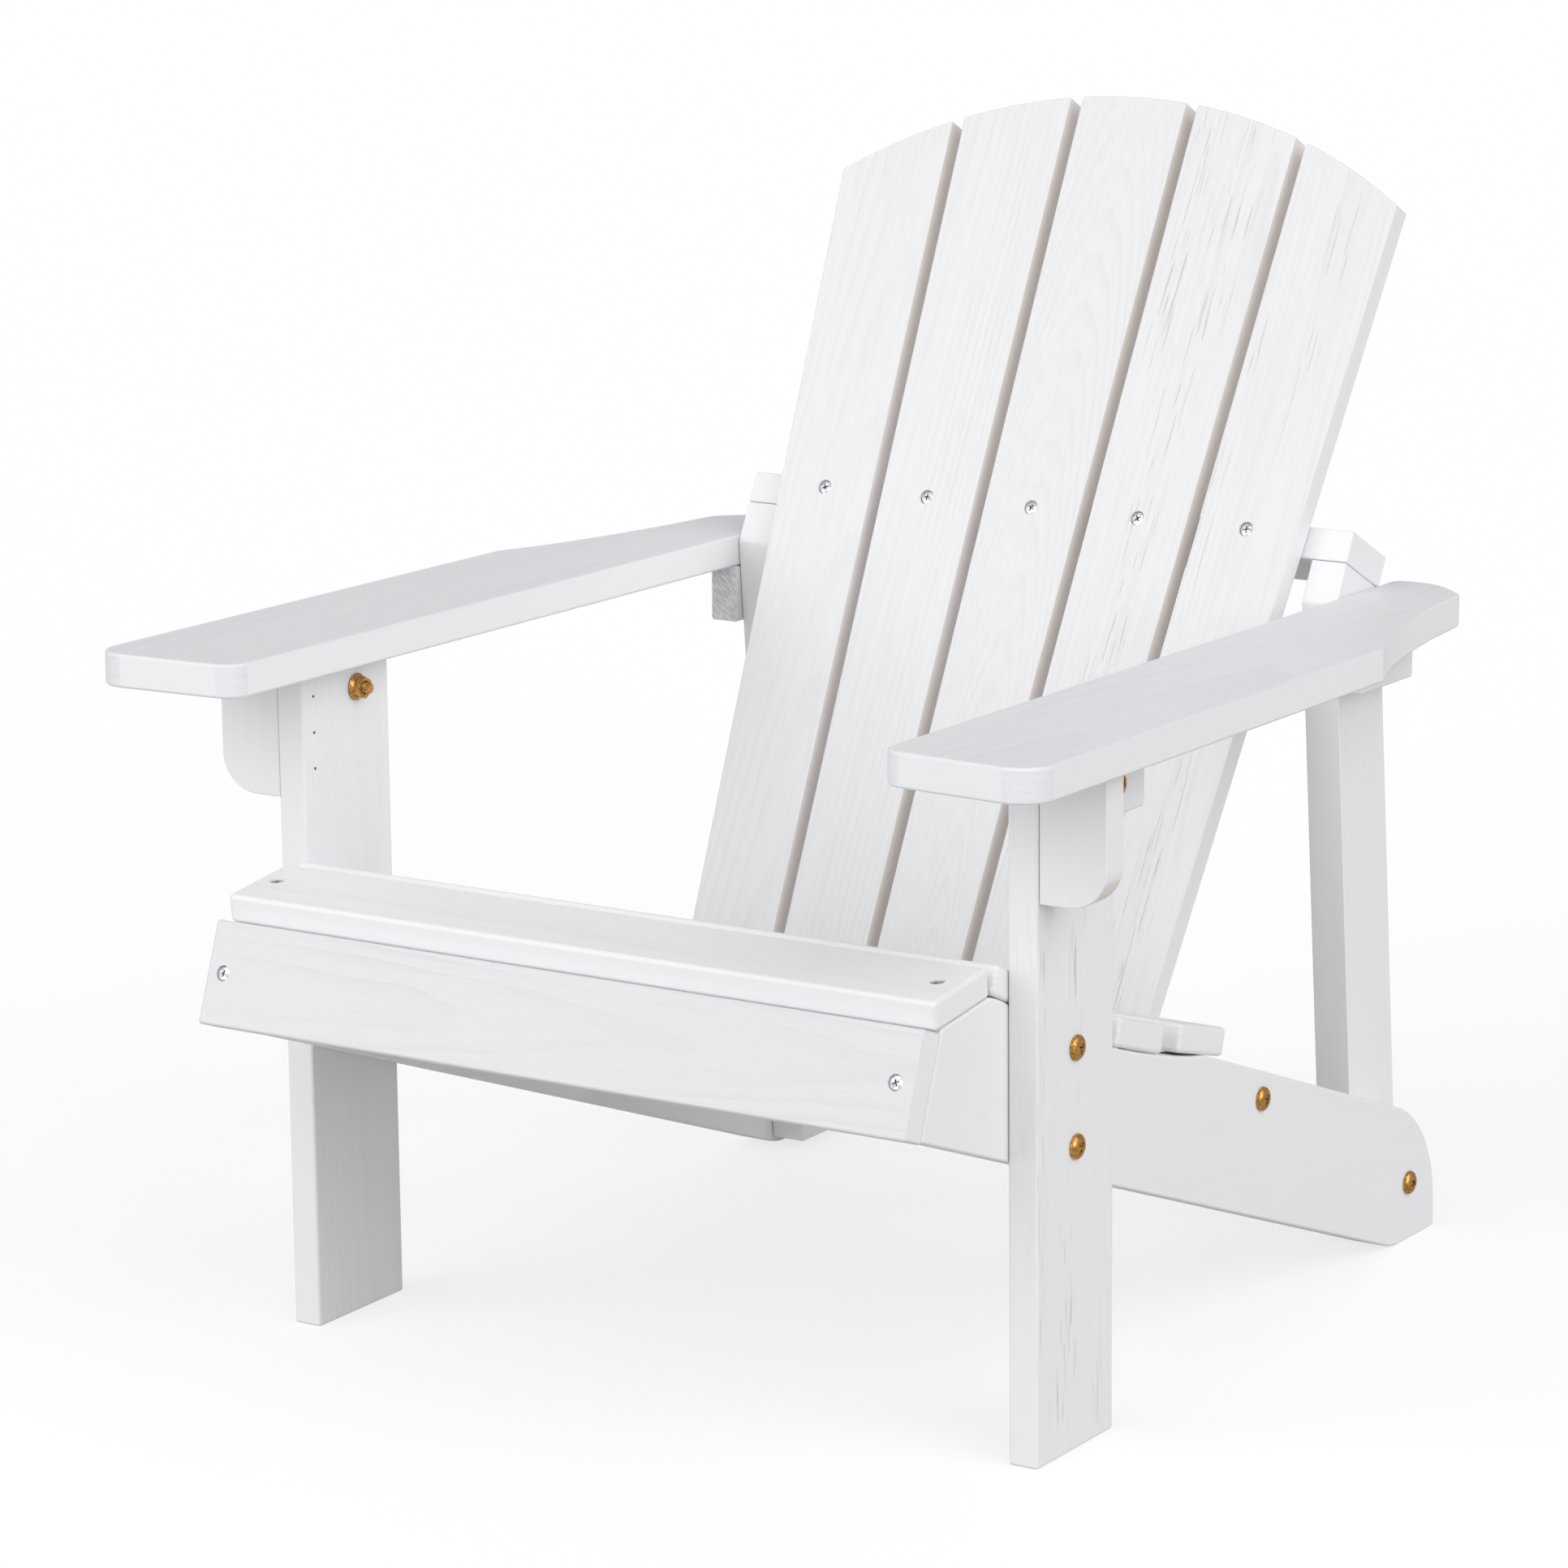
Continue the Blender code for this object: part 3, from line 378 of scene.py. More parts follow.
def softened(points):
    """The outline with its short, gently turning sides drawn as smooth curves."""
    count = len(points)
    sides = sides_of(points)

    def heading(i):
        before, after = sides[i - 1], sides[i % count]
        if before.angle(after) > GENTLE_TURN:
            return None
        if before.length > LONGEST_ARC_STEP:
            return before.normalized()
        if after.length > LONGEST_ARC_STEP:
            return after.normalized()
        return (before.normalized() + after.normalized()).normalized()

    outline = []
    for i, side in enumerate(sides):
        start, end = points[i], points[(i + 1) % count]
        outline.append(start)
        leaving, arriving = heading(i), heading((i + 1) % count)
        if side.length > LONGEST_ARC_STEP or (leaving is None and arriving is None):
            continue
        chord = side.normalized()
        leaving = leaving or chord * (2 * chord.dot(arriving)) - arriving
        arriving = arriving or chord * (2 * chord.dot(leaving)) - leaving
        handle = side.length / 3
        handles = (start + leaving * handle, end - arriving * handle)
        curve = interpolate_bezier(start, *handles, end, ARC_CUTS + 1)
        outline += [Vector(p[:2]) for p in curve[1:-1]]
    return outline


# ---------- mesh tools
def mesh_from(bm, name):
    mesh = bpy.data.meshes.new(name)
    bm.to_mesh(mesh)
    bm.free()
    return mesh


def solid_board(outline, thickness, radius):
    """A board sawn to an outline with its edges rounded over."""
    bm = bmesh.new()
    face = bm.faces.new([bm.verts.new((p.x, p.y, -thickness / 2)) for p in outline])
    raised = bmesh.ops.extrude_face_region(bm, geom=[face])["geom"]
    lifted = [g for g in raised if isinstance(g, bmesh.types.BMVert)]
    bmesh.ops.translate(bm, verts=lifted, vec=(0, 0, thickness))
    bmesh.ops.recalc_face_normals(bm, faces=bm.faces)
    hard = [e for e in bm.edges if e.calc_face_angle(0) > ROUND_ANGLE]
    bmesh.ops.bevel(
        bm, geom=hard, offset=radius, offset_type="OFFSET", segments=ROUND_SEGMENTS, profile=0.5,
        affect="EDGES", material=-1, clamp_overlap=True,
    )
    return bm


def turned_solid(profile, steps=ROUND_STEPS):
    """A closed body spun round Z from (radius, height) points that start and end on the axis."""
    bm = bmesh.new()
    verts = [bm.verts.new((radius, 0, height)) for radius, height in profile]
    edges = [bm.edges.new(pair) for pair in zip(verts, verts[1:])]
    bmesh.ops.spin(
        bm, geom=verts + edges, cent=(0, 0, 0), axis=(0, 0, 1), angle=math.tau, steps=steps, use_merge=True
    )
    bmesh.ops.remove_doubles(bm, verts=bm.verts, dist=MERGE)
    bmesh.ops.recalc_face_normals(bm, faces=bm.faces)
    return bm


def placed(name, data):
    """A new object in the scene."""
    obj = bpy.data.objects.new(name, data)
    bpy.context.scene.collection.objects.link(obj)
    return obj


def boolean(mesh, operation, cutter):
    """The mesh joined with, or cut by, another mesh."""
    target = placed("boolean_target", mesh)
    tool = placed("boolean_tool", cutter)
    modifier = target.modifiers.new("boolean", "BOOLEAN")
    modifier.operation = operation
    modifier.solver = "EXACT"
    modifier.object = tool
    bpy.context.view_layer.update()
    result = bpy.data.meshes.new_from_object(target.evaluated_get(bpy.context.evaluated_depsgraph_get()))
    for obj in (target, tool):
        bpy.data.objects.remove(obj)
    return result


def joined(template, matrices, name):
    """One mesh with a copy of the template at each matrix."""
    bm = bmesh.new()
    for matrix in matrices:
        copy = template.copy()
        copy.transform(matrix)
        bm.from_mesh(copy)
        bpy.data.meshes.remove(copy)
    return mesh_from(bm, name)


def finish_piece(name, mesh, material, nodes=()):
    """Adds a piece that rides on the chair and stands for CAD nodes."""
    mesh.name = name
    mesh.materials.clear()
    mesh.materials.append(material)
    mesh.shade_smooth()
    mesh.set_sharp_from_angle(angle=SMOOTH_ANGLE)
    piece = placed(name, mesh)
    normals = piece.modifiers.new("flat_faces_stay_flat", "WEIGHTED_NORMAL")
    normals.keep_sharp = True
    normals.weight = FLAT_FACE_WEIGHT
    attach(piece, BODY)
    if nodes:
        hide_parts(*nodes)
    return piece


def facing(origin, direction):
    """A placing that stands Z along the direction."""
    turn = direction.normalized().to_track_quat("Z", "Y").to_matrix().to_4x4()
    return Matrix.Translation(origin) @ turn


# ---------- shader tools
class Nodes:
    """Short names for building a node tree."""

    def __init__(self, tree):
        self.tree = tree

    def add(self, kind, **values):
        node = self.tree.nodes.new(kind)
        for name, value in values.items():
            setattr(node, name, value)
        return node

    def put(self, value, socket):
        if isinstance(value, bpy.types.NodeSocket):
            self.tree.links.new(value, socket)
        else:
            socket.default_value = value

    def math(self, operation, a, b=0.0, clamp=False):
        node = self.add("ShaderNodeMath", operation=operation, use_clamp=clamp)
        self.put(a, node.inputs[0])
        self.put(b, node.inputs[1])
        return node.outputs[0]

    def times(self, value, *others):
        for other in others:
            value = self.math("MULTIPLY", value, other)
        return value

    def stretch(self, parts, scales):
        """A vector from three sockets, each multiplied by its scale."""
        node = self.add("ShaderNodeCombineXYZ")
        for part, scale, socket in zip(parts, scales, node.inputs):
            self.put(self.times(part, scale), socket)
        return node.outputs[0]

    def noise(self, vector, scale=1.0, detail=2.0, roughness=0.5):
        node = self.add("ShaderNodeTexNoise", noise_dimensions="3D")
        self.put(vector, node.inputs["Vector"])
        node.inputs["Scale"].default_value = scale
        node.inputs["Detail"].default_value = detail
        node.inputs["Roughness"].default_value = roughness
        return node.outputs["Fac"]

    def remap(self, value, low, high, to_low=0.0, to_high=1.0):
        node = self.add("ShaderNodeMapRange", interpolation_type="SMOOTHSTEP")
        self.put(value, node.inputs["Value"])
        for name, number in zip(("From Min", "From Max", "To Min", "To Max"), (low, high, to_low, to_high)):
            self.put(number, node.inputs[name])
        return node.outputs["Result"]

    def mix(self, factor, a, b):
        node = self.add("ShaderNodeMix", data_type="RGBA")
        self.put(factor, node.inputs["Factor"])
        colours = [s for s in node.inputs if s.type == "RGBA"]
        for value, socket in zip((a, b), colours):
            self.put(value if isinstance(value, bpy.types.NodeSocket) else (*value, 1.0), socket)
        return next(s for s in node.outputs if s.type == "RGBA")

    def bump(self, height, amount, distance, shader):
        node = self.add("ShaderNodeBump")
        node.inputs["Strength"].default_value = amount
        node.inputs["Distance"].default_value = distance
        self.put(height, node.inputs["Height"])
        self.put(node.outputs["Normal"], shader.inputs["Normal"])


def new_group(name, inputs, outputs):
    """A shader group with named sockets, given as (name, kind, default)."""
    group = bpy.data.node_groups.new(name, "ShaderNodeTree")
    for socket_name, kind, default in inputs:
        socket = group.interface.new_socket(
            name=socket_name, in_out="INPUT", socket_type="NodeSocket" + kind
        )
        if default is not None:
            socket.default_value = default
    for socket_name, kind in outputs:
        group.interface.new_socket(name=socket_name, in_out="OUTPUT", socket_type="NodeSocket" + kind)
    return group, group.nodes.new("NodeGroupInput").outputs, group.nodes.new("NodeGroupOutput").inputs


def grain_group():
    """Growth rings, fibres and short checks of a board cut from a log that runs along X."""
    found = bpy.data.node_groups.get("brushed_grain")
    if found:
        return found
    group, given, out = new_group(
        "brushed_grain",
        [
            ("Log Position", "Vector", None), ("Ring Spacing", "Float", 3.0 * MM),
            ("Waviness", "Float", 2.0 * MM), ("Rings", "Float", 1.0), ("Fibres", "Float", 1.0),
            ("Checks", "Float", 0.0), ("Show", "Float", 1.0),
        ],
        [("Grooves", "Float"), ("Check Mask", "Float"), ("Height", "Float"), ("Tone", "Float")],
    )
    n = Nodes(group)
    split = n.add("ShaderNodeSeparateXYZ")
    n.put(given["Log Position"], split.inputs[0])
    x, y, z = split.outputs
    parts = (x, y, z)
    slow = n.math("SUBTRACT", n.noise(n.stretch(parts, SLOW_WAVES)), 0.5)
    quick = n.math("SUBTRACT", n.noise(n.stretch(parts, QUICK_WAVES), detail=1.0), 0.5)
    wobble = n.math("ADD", n.times(slow, SLOW_SHARE), n.times(quick, QUICK_SHARE))
    cross = n.add("ShaderNodeVectorMath", operation="LENGTH")
    n.put(n.stretch(parts, (0, 1, 1)), cross.inputs[0])
    radius = n.math("ADD", cross.outputs["Value"], n.times(wobble, given["Waviness"]))
    phase = n.math("FRACT", n.math("DIVIDE", radius, given["Ring Spacing"]))
    start, peak = LATE_WOOD
    late = n.times(n.remap(phase, start, peak), n.remap(phase, 1.0, peak))
    patch = n.remap(n.noise(n.stretch(parts, RING_PATCHES), detail=1.0), 0.3, 0.7, 0.25, 1.0)
    rings = n.times(late, patch, given["Rings"], RING_SHARE)
    fine = n.remap(n.noise(n.stretch(parts, FIBRES), detail=3.0, roughness=0.65), 0.42, 0.72)
    fibres = n.times(fine, given["Fibres"], FIBRE_SHARE)
    bed = n.remap(n.noise(n.stretch(parts, CHECK_BEDS), detail=1.0), 0.43, 0.55)
    gain = n.times(given["Checks"], CHECK_GAIN)
    ridge = n.math("ADD", n.noise(n.stretch(parts, CHECK_STREAKS), detail=1.0), gain)
    checks = n.times(n.remap(ridge, 0.68, 0.73), bed, given["Checks"], given["Show"])
    grooves = n.times(n.math("ADD", rings, fibres, clamp=True), given["Show"])
    sunk = n.math("ADD", grooves, n.times(checks, CHECK_RELIEF))
    n.put(grooves, out["Grooves"])
    n.put(checks, out["Check Mask"])
    n.put(n.math("SUBTRACT", 1.0, sunk), out["Height"])
    n.put(n.noise(n.stretch(parts, TONE_DRIFT)), out["Tone"])
    return group


def plating_group():
    """Mottle and fine bumps of a plated fastener."""
    found = bpy.data.node_groups.get("plating_mottle")
    if found:
        return found
    group, given, out = new_group(
        "plating_mottle",
        [("Position", "Vector", None), ("Mottle", "Float", MOTTLE_SCALE)],
        [("Patches", "Float"), ("Height", "Float")],
    )
    n = Nodes(group)
    scaled = n.add("ShaderNodeVectorMath", operation="SCALE")
    n.put(given["Position"], scaled.inputs[0])
    n.put(given["Mottle"], scaled.inputs["Scale"])
    n.put(n.remap(n.noise(scaled.outputs[0], detail=3.0), 0.4, 0.65), out["Patches"])
    n.put(n.noise(scaled.outputs[0], scale=4.0), out["Height"])
    return group


def shader_of(name):
    material = bpy.data.materials.new(name)
    material.use_nodes = True
    return material, Nodes(material.node_tree), material.node_tree.nodes["Principled BSDF"]


def painted_wood(name, paint, **grain):
    """White paint brushed over softwood. FINISHES holds the values of the grain."""
    material = bpy.data.materials.get(name)
    if material:
        return material
    settings = bpy.context.scene.chair_boards
    bare = grain.pop("bare", 0.0)
    rough_end = grain.pop("rough_end", 0.0)
    depth = grain.pop("depth")
    material, n, shader = shader_of(name)
    position = n.add("ShaderNodeAttribute", attribute_name="log_position")
    wood = n.add("ShaderNodeGroup", node_tree=grain_group())
    n.put(position.outputs["Vector"], wood.inputs["Log Position"])
    for name_of_value, value in grain.items():
        wood.inputs[name_of_value.replace("_", " ").title()].default_value = value
    side = n.add("ShaderNodeAttribute", attribute_name="narrow_side").outputs["Fac"]
    n.put(n.math("SUBTRACT", 1.0, n.times(side, SIDE_CALM)), wood.inputs["Show"])
    groove_mix = n.times(wood.outputs["Grooves"], GROOVE_TINT)
    shade = n.remap(wood.outputs["Tone"], 0.3, 0.7, 0.0, TONE_TINT)
    cracks = n.math("MULTIPLY", wood.outputs["Check Mask"], CRACK_TINT, clamp=True)
    # Broad faces take the given paint. For the apron, back slats and armrests that is a darker copy of the
    # white paint, which paints their shade.
    colour = n.mix(side, paint, settings.paint)
    colour = n.mix(shade, colour, settings.groove)
    colour = n.mix(groove_mix, colour, settings.groove)
    colour = n.mix(cracks, colour, settings.crack)
    height = wood.outputs["Height"]
    # Marked faces take the tan of thinly painted wood in patches, darkened as painted shade of the gaps and
    # undersides.
    if bare:
        edge = n.add("ShaderNodeAttribute", attribute_name="bare_and_shaded_side")
        patchy = n.remap(wood.outputs["Tone"], 0.25, 0.75, 0.35, 1.0)
        mask = n.times(edge.outputs["Fac"], patchy, bare)
        colour = n.mix(mask, colour, settings.bare_wood_and_shade)
    if rough_end:
        end = n.add("ShaderNodeAttribute", attribute_name="sawn_end")
        split = n.add("ShaderNodeSeparateXYZ")
        n.put(position.outputs["Vector"], split.inputs[0])
        x, y, z = split.outputs
        slanted = n.math("ADD", y, z)
        torn = n.remap(n.noise(n.stretch((x, y, slanted), TORN_FIBRES)), 0.42, 0.62)
        mask = n.times(torn, end.outputs["Fac"], rough_end)
        colour = n.mix(mask, colour, settings.sawn_wood)
        height = n.math("SUBTRACT", height, n.times(mask, TORN_RELIEF))
    n.put(colour, shader.inputs["Base Color"])
    n.put(n.remap(wood.outputs["Grooves"], 0.0, 1.0, *PAINT_ROUGHNESS), shader.inputs["Roughness"])
    n.bump(height, GRAIN_BUMP, settings.relief * depth, shader)
    return material


def plated(name, tint_name, roughness):
    """Metal in one of the hardware tints, with patches of its darker one."""
    material = bpy.data.materials.get(name)
    if material:
        return material
    settings = bpy.context.scene.chair_hardware
    colour, dark = getattr(settings, tint_name), getattr(settings, tint_name + "_dark")
    material, n, shader = shader_of(name)
    place = n.add("ShaderNodeTexCoord")
    mottle = n.add("ShaderNodeGroup", node_tree=plating_group())
    n.put(place.outputs["Object"], mottle.inputs["Position"])
    n.put(n.mix(mottle.outputs["Patches"], colour, dark), shader.inputs["Base Color"])
    worn = n.remap(mottle.outputs["Patches"], 0.0, 1.0, roughness, roughness + MOTTLE_ROUGHNESS)
    n.put(worn, shader.inputs["Roughness"])
    shader.inputs["Metallic"].default_value = 1.0
    n.bump(mottle.outputs["Height"], MOTTLE_BUMP, MOTTLE_RELIEF, shader)
    return material


def finish(spacing, waviness, rings, fibres, depth, **more):
    """Values of a board's grain: the ring spacing and waviness are in millimetres."""
    return {
        "ring_spacing": spacing * MM, "waviness": waviness * MM, "rings": rings, "fibres": fibres,
        "depth": depth, **more,
    }


# The bare share gives the tan of thinly painted wood, darkened as painted shade, on the faces that a board
# marks.
FINISHES = {
    "apron": finish(3.4, 3.2, 0.8, 0.5, 1.1),
    "seat": finish(3.4, 2.4, 0.7, 0.7, 1.0),
    "slat": finish(2.4, 1.6, 0.6, 1.0, 0.8, bare=0.6),
    "checked_slat": finish(2.2, 1.4, 0.7, 1.0, 0.8, checks=0.55, bare=0.6),
    "leg": finish(2.6, 1.2, 0.4, 0.5, 0.5),
    "checked_leg": finish(2.6, 1.2, 0.45, 0.6, 0.6, checks=0.72),
    "rail": finish(4.0, 2.0, 0.1, 0.22, 0.4),
    "arm": finish(4.2, 3.0, 0.6, 0.8, 0.8),
    "block": finish(2.6, 1.0, 0.15, 0.3, 0.5, bare=0.8, rough_end=0.75),
}


# ---------- boards
def log_position(mesh, board, seed, pith=None, lean=None):
    """Stores where each point lies in the log that the board was sawn from."""
    chance = random.Random(seed)
    shift = chance.uniform(0, LOG_LENGTH)
    pith = pith or (chance.uniform(-PITH_ACROSS, PITH_ACROSS), -chance.uniform(*PITH_BELOW))
    lean = lean or (chance.uniform(-LEAN[0], LEAN[0]), chance.uniform(-LEAN[1], LEAN[1]))
    to_board = board.matrix.inverted()
    values = []
    for vertex in mesh.vertices:
        p = to_board @ vertex.co
        values += [p.x + shift, p.y - pith[0] + lean[0] * p.x, p.z - pith[1] + lean[1] * p.x]
    attribute = mesh.attributes.new("log_position", "FLOAT_VECTOR", "POINT")
    attribute.data.foreach_set("vector", values)


def mark_faces(mesh, name, belongs):
    """Stores which points lie on the faces that a test of their normal picks."""
    picked = [0.0] * len(mesh.vertices)
    for polygon in mesh.polygons:
        if polygon.area > SMALL_FACE and belongs(polygon.normal):
            for index in polygon.vertices:
                picked[index] = 1.0
    mesh.attributes.new(name, "FLOAT", "POINT").data.foreach_set("value", picked)


def nowhere(normal):
    return False


def make_board(
    node, kind, screws=(), radius=None, paint=None, pith=None, lean=None, bare=nowhere, torn=nowhere
):
    """Replaces a CAD board with a rounded one, sunk for the heads of its screws."""
    settings = bpy.context.scene.chair_boards
    board = Board(node)
    bm = solid_board(softened(board.outline), board.thickness, radius or settings.edge_radius)
    mesh = mesh_from(bm, node)
    mesh.transform(board.matrix)
    if screws:
        sink = mesh_from(turned_solid(screw_sink()), "screw_sink")
        mesh = boolean(mesh, "DIFFERENCE", joined(sink, [facing(*screw) for screw in screws], "sinks"))
    log_position(mesh, board, node, pith, lean)
    mark_faces(mesh, "narrow_side", lambda normal: abs(normal.dot(board.through)) < SIDEWAYS)
    # Faces that the bare test picks take the bare-wood tan with painted shade.
    mark_faces(mesh, "bare_and_shaded_side", bare)
    mark_faces(mesh, "sawn_end", torn)
    material = painted_wood("painted_" + kind, paint or settings.paint, **FINISHES[kind])
    finish_piece(node + "_board", mesh, material, [node])
    return board


def both(name):
    return [f"{name}_{side}" for side, _ in SIDES]


def front_of(board):
    """The direction that a board's front face looks in."""
    return -board.through if board.through.y > 0 else board.through


def rail_middle():
    low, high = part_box("side_rail_left")
    return (low.x + high.x) / 2


# ---------- screws, brads, bolts and nuts
def screw_sink():
    """Profile of the hole that a screw's head lies in: the board's face is at Z = 0."""
    wide, narrow = SCREW_HEAD + SCREW_ROOM, SCREW_SHANK + SCREW_ROOM
    floor = -SCREW_SINK - SCREW_ROOM
    neck = floor - SCREW_SHOULDER
    return [(0, SINK_REACH), (wide, SINK_REACH), (wide, floor), (narrow, neck), (0, neck)]


def cross_recess(reach, width, top, floor):
    """Cutter for a cross recess that narrows downwards."""
    tools = []
    for turn in (0, math.pi / 2):
        bm = bmesh.new()
        bmesh.ops.create_cone(bm, cap_ends=True, segments=4, radius1=0.35, radius2=0.72, depth=1)
        bmesh.ops.rotate(bm, cent=(0, 0, 0), matrix=Matrix.Rotation(math.pi / 4, 3, "Z"), verts=bm.verts)
        bmesh.ops.scale(bm, vec=(reach, width, top - floor), verts=bm.verts)
        bmesh.ops.translate(bm, vec=(0, 0, (top + floor) / 2), verts=bm.verts)
        bmesh.ops.rotate(bm, cent=(0, 0, 0), matrix=Matrix.Rotation(turn, 3, "Z"), verts=bm.verts)
        tools.append(mesh_from(bm, "recess"))
    return boolean(tools[0], "UNION", tools[1])


def screw_mesh(length):
    """Countersunk wood screw with a cross recess: the board's face is at Z = 0."""
    top = -SCREW_SINK
    neck = top - SCREW_SHOULDER
    profile = [
        (0, top + 0.25 * MM), (0.55 * SCREW_HEAD, top + 0.2 * MM), (0.9 * SCREW_HEAD, top + 0.02 * MM),
        (SCREW_HEAD, top - 0.15 * MM), (SCREW_HEAD, top - 0.4 * MM), (SCREW_SHANK, neck),
        (SCREW_SHANK, -length + SCREW_POINT), (0, -length),
    ]
    recess = cross_recess(*SCREW_RECESS, top + 1 * MM, top - 1.5 * MM)
    return boolean(mesh_from(turned_solid(profile, SCREW_STEPS), "screw"), "DIFFERENCE", recess)


def bolt_mesh(length):
    """Domed bolt with a cross recess and a threaded end: the board's face is at Z = 0."""
    crown = DOME_HEIGHT - 0.8 * MM
    dome = []
    for i in range(DOME_STEPS + 1):
        bend = math.pi / 2 * (1 - i / DOME_STEPS)
        dome.append((DOME_RADIUS * math.cos(bend), DOME_BASE + DOME_RIM + crown * math.sin(bend)))
    dome[0] = (0, dome[0][1])
    thread = []
    start = THREAD_LENGTH - length
    for i in range(int(THREAD_LENGTH / THREAD_PITCH)):
        z = start - i * THREAD_PITCH
        thread += [(BOLT_SHANK, z), (BOLT_SHANK - THREAD_DEPTH, z - THREAD_PITCH / 2)]
    root, tip = BOLT_SHANK - THREAD_DEPTH, BOLT_SHANK - 2 * THREAD_DEPTH
    profile = dome + [(DOME_RADIUS, DOME_BASE), (BOLT_SHANK, DOME_BASE)] + thread
    profile += [(root, -length + 0.1 * MM), (tip, -length), (0, -length)]
    recess = cross_recess(*BOLT_RECESS, DOME_HEIGHT + 1 * MM, DOME_HEIGHT - BOLT_RECESS_DEPTH)
    return boolean(mesh_from(turned_solid(profile), "bolt"), "DIFFERENCE", recess)


def nut_mesh():
    """Flange nut that stands on Z = 0."""
    bm = bmesh.new()
    base = NUT_FLANGE_HEIGHT / 2
    bmesh.ops.create_cone(
        bm, cap_ends=True, segments=6, radius1=NUT_CORNER, radius2=NUT_CORNER, depth=NUT_HEIGHT - base
    )
    bmesh.ops.translate(bm, vec=(0, 0, (NUT_HEIGHT + base) / 2), verts=bm.verts)
    bmesh.ops.bevel(
        bm, geom=list(bm.edges), offset=NUT_EASE, offset_type="OFFSET", segments=2, profile=0.5,
        affect="EDGES", material=-1,
    )
    hexagon = mesh_from(bm, "hexagon")
    rise = NUT_FLANGE_HEIGHT + NUT_FLANGE_RISE
    flange = turned_solid([
        (0, rise), (NUT_CORNER * 0.93, rise),
        (NUT_FLANGE - NUT_RIM, NUT_FLANGE_HEIGHT - NUT_RIM), (NUT_FLANGE, NUT_FLANGE_HEIGHT - 2 * NUT_RIM),
        (NUT_FLANGE, NUT_RIM), (NUT_FLANGE - NUT_RIM, 0), (0, 0),
    ])
    bore = BOLT_SHANK + NUT_ROOM
    tool = turned_solid([
        (0, 9 * MM), (bore + 4 * MM, 9 * MM), (bore, NUT_HEIGHT - 0.5 * MM), (bore, -SINK_REACH),
        (0, -SINK_REACH),
    ])
    whole = boolean(hexagon, "UNION", mesh_from(flange, "flange"))
    return boolean(whole, "DIFFERENCE", mesh_from(tool, "bore"))


def nodes_named(part):
    return sorted(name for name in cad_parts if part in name)


def back_slats():
    return [name for name in nodes_named("back_slat_") if "screw" not in name]


def outward(node):
    """1 for a piece on the left side, which is +X, and -1 for one on the right."""
    return 1 if node.endswith("left") else -1


def along_x(low, high, x, sign):
    """A placing at x on the middle line of a box, which looks to +X or -X."""
    return facing(Vector((x, (low.y + high.y) / 2, (low.z + high.z) / 2)), Vector((sign, 0, 0)))


def head_of(node, direction):
    """Where a CAD screw, whose head faces the direction, enters the board's face."""
    points = [v.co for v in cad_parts[node].data.vertices]
    reach = max(p.dot(direction) for p in points)
    top = [p for p in points if p.dot(direction) > reach - HEAD_SLACK]
    return sum(top, Vector()) / len(top) + direction * CAD_SCREW_SINK


def place_screws(name, reach, spots, nodes=()):
    """One piece of equal screws, each turned its own way."""
    matrices = []
    for i, spot in enumerate(spots):
        matrices.append(facing(*spot) @ Matrix.Rotation(SCREW_TURN + SCREW_TURN_STEP * i, 4, "Z"))
    zinc = plated("bright_zinc_plating", "bright", BRIGHT_ROUGHNESS)
    finish_piece(name, joined(screw_mesh(reach), matrices, name), zinc, nodes)


def screw_spots(nodes, direction):
    return [(head_of(node, direction), direction) for node in nodes]


def seat_spots(board):
    """The two screws of a seat slat, above the rails and a little off the slat's middle line."""
    chance = random.Random(board.node)
    spots = []
    for _, sign in SIDES:
        wander = Vector((chance.uniform(-1, 1), chance.uniform(-1, 1))) * SEAT_SCREW_WANDER
        along = sign * rail_middle() + wander.x
        spots.append((board.point(along, wander.y, board.thickness / 2), board.through))
    return spots


def lower_back_spot(board):
    """Where the lower back rail's screw enters a back slat's front face."""
    low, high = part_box("lower_back_rail")
    forward = front_of(board)
    face = board.matrix.translation + forward * (board.thickness / 2)
    rail = (low + high) / 2
    up = forward.cross(Vector((1, 0, 0)))
    outline = [board.point(p.x, p.y, 0) for p in board.outline]
    foot = min(p.z for p in outline)
    feet = [p.x for p in outline if p.z < foot + SLAT_FOOT]
    across = sum(feet) / len(feet)
    start = Vector((across, face.y, face.z))
    return (start + up * (rail - start).dot(up), forward)


def cleat_spots(cleat):
    """Two screws that enter a cleat's lower face."""
    board = Board(cleat)
    ways = (board.along, -board.along, board.across, -board.across)
    down = min(ways, key=lambda way: way.z)
    back = max(ways, key=lambda way: way.y)
    height = board.size.x if abs(down.dot(board.along)) > 0.5 else board.size.y
    middle = board.matrix.translation + down * (height / 2)
    return [(middle + back * (step * ARM_SCREW_SPACING / 2), down) for step in (-1, 1)]


def brad_spots():
    """A row of brads in each leg's inner face, which reach into the bracket."""
    spots = []
    for side, sign in SIDES:
        low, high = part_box("arm_bracket_" + side)
        leg_low, leg_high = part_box("front_leg_" + side)
        inner = leg_low.x if sign > 0 else leg_high.x
        for i in range(BRADS):
            place = Vector((inner, (low.y + high.y) / 2, high.z - BRAD_TOP - i * BRAD_PITCH))
            spots.append((place, Vector((-sign, 0, 0))))
    return spots


# ---------- operators
class ChairOperator:
    bl_options = {"REGISTER", "UNDO"}


class CHAIR_OT_side_rails(ChairOperator, bpy.types.Operator):
    """Side rails that carry the seat and reach the ground behind"""

    bl_idname = "chair.side_rails"
    bl_label = "Side rails"

    def execute(self, context):
        radius = context.scene.chair_boards.eased_radius
        for node in both("side_rail"):
            make_board(node, "rail", radius=radius)
        return {"FINISHED"}


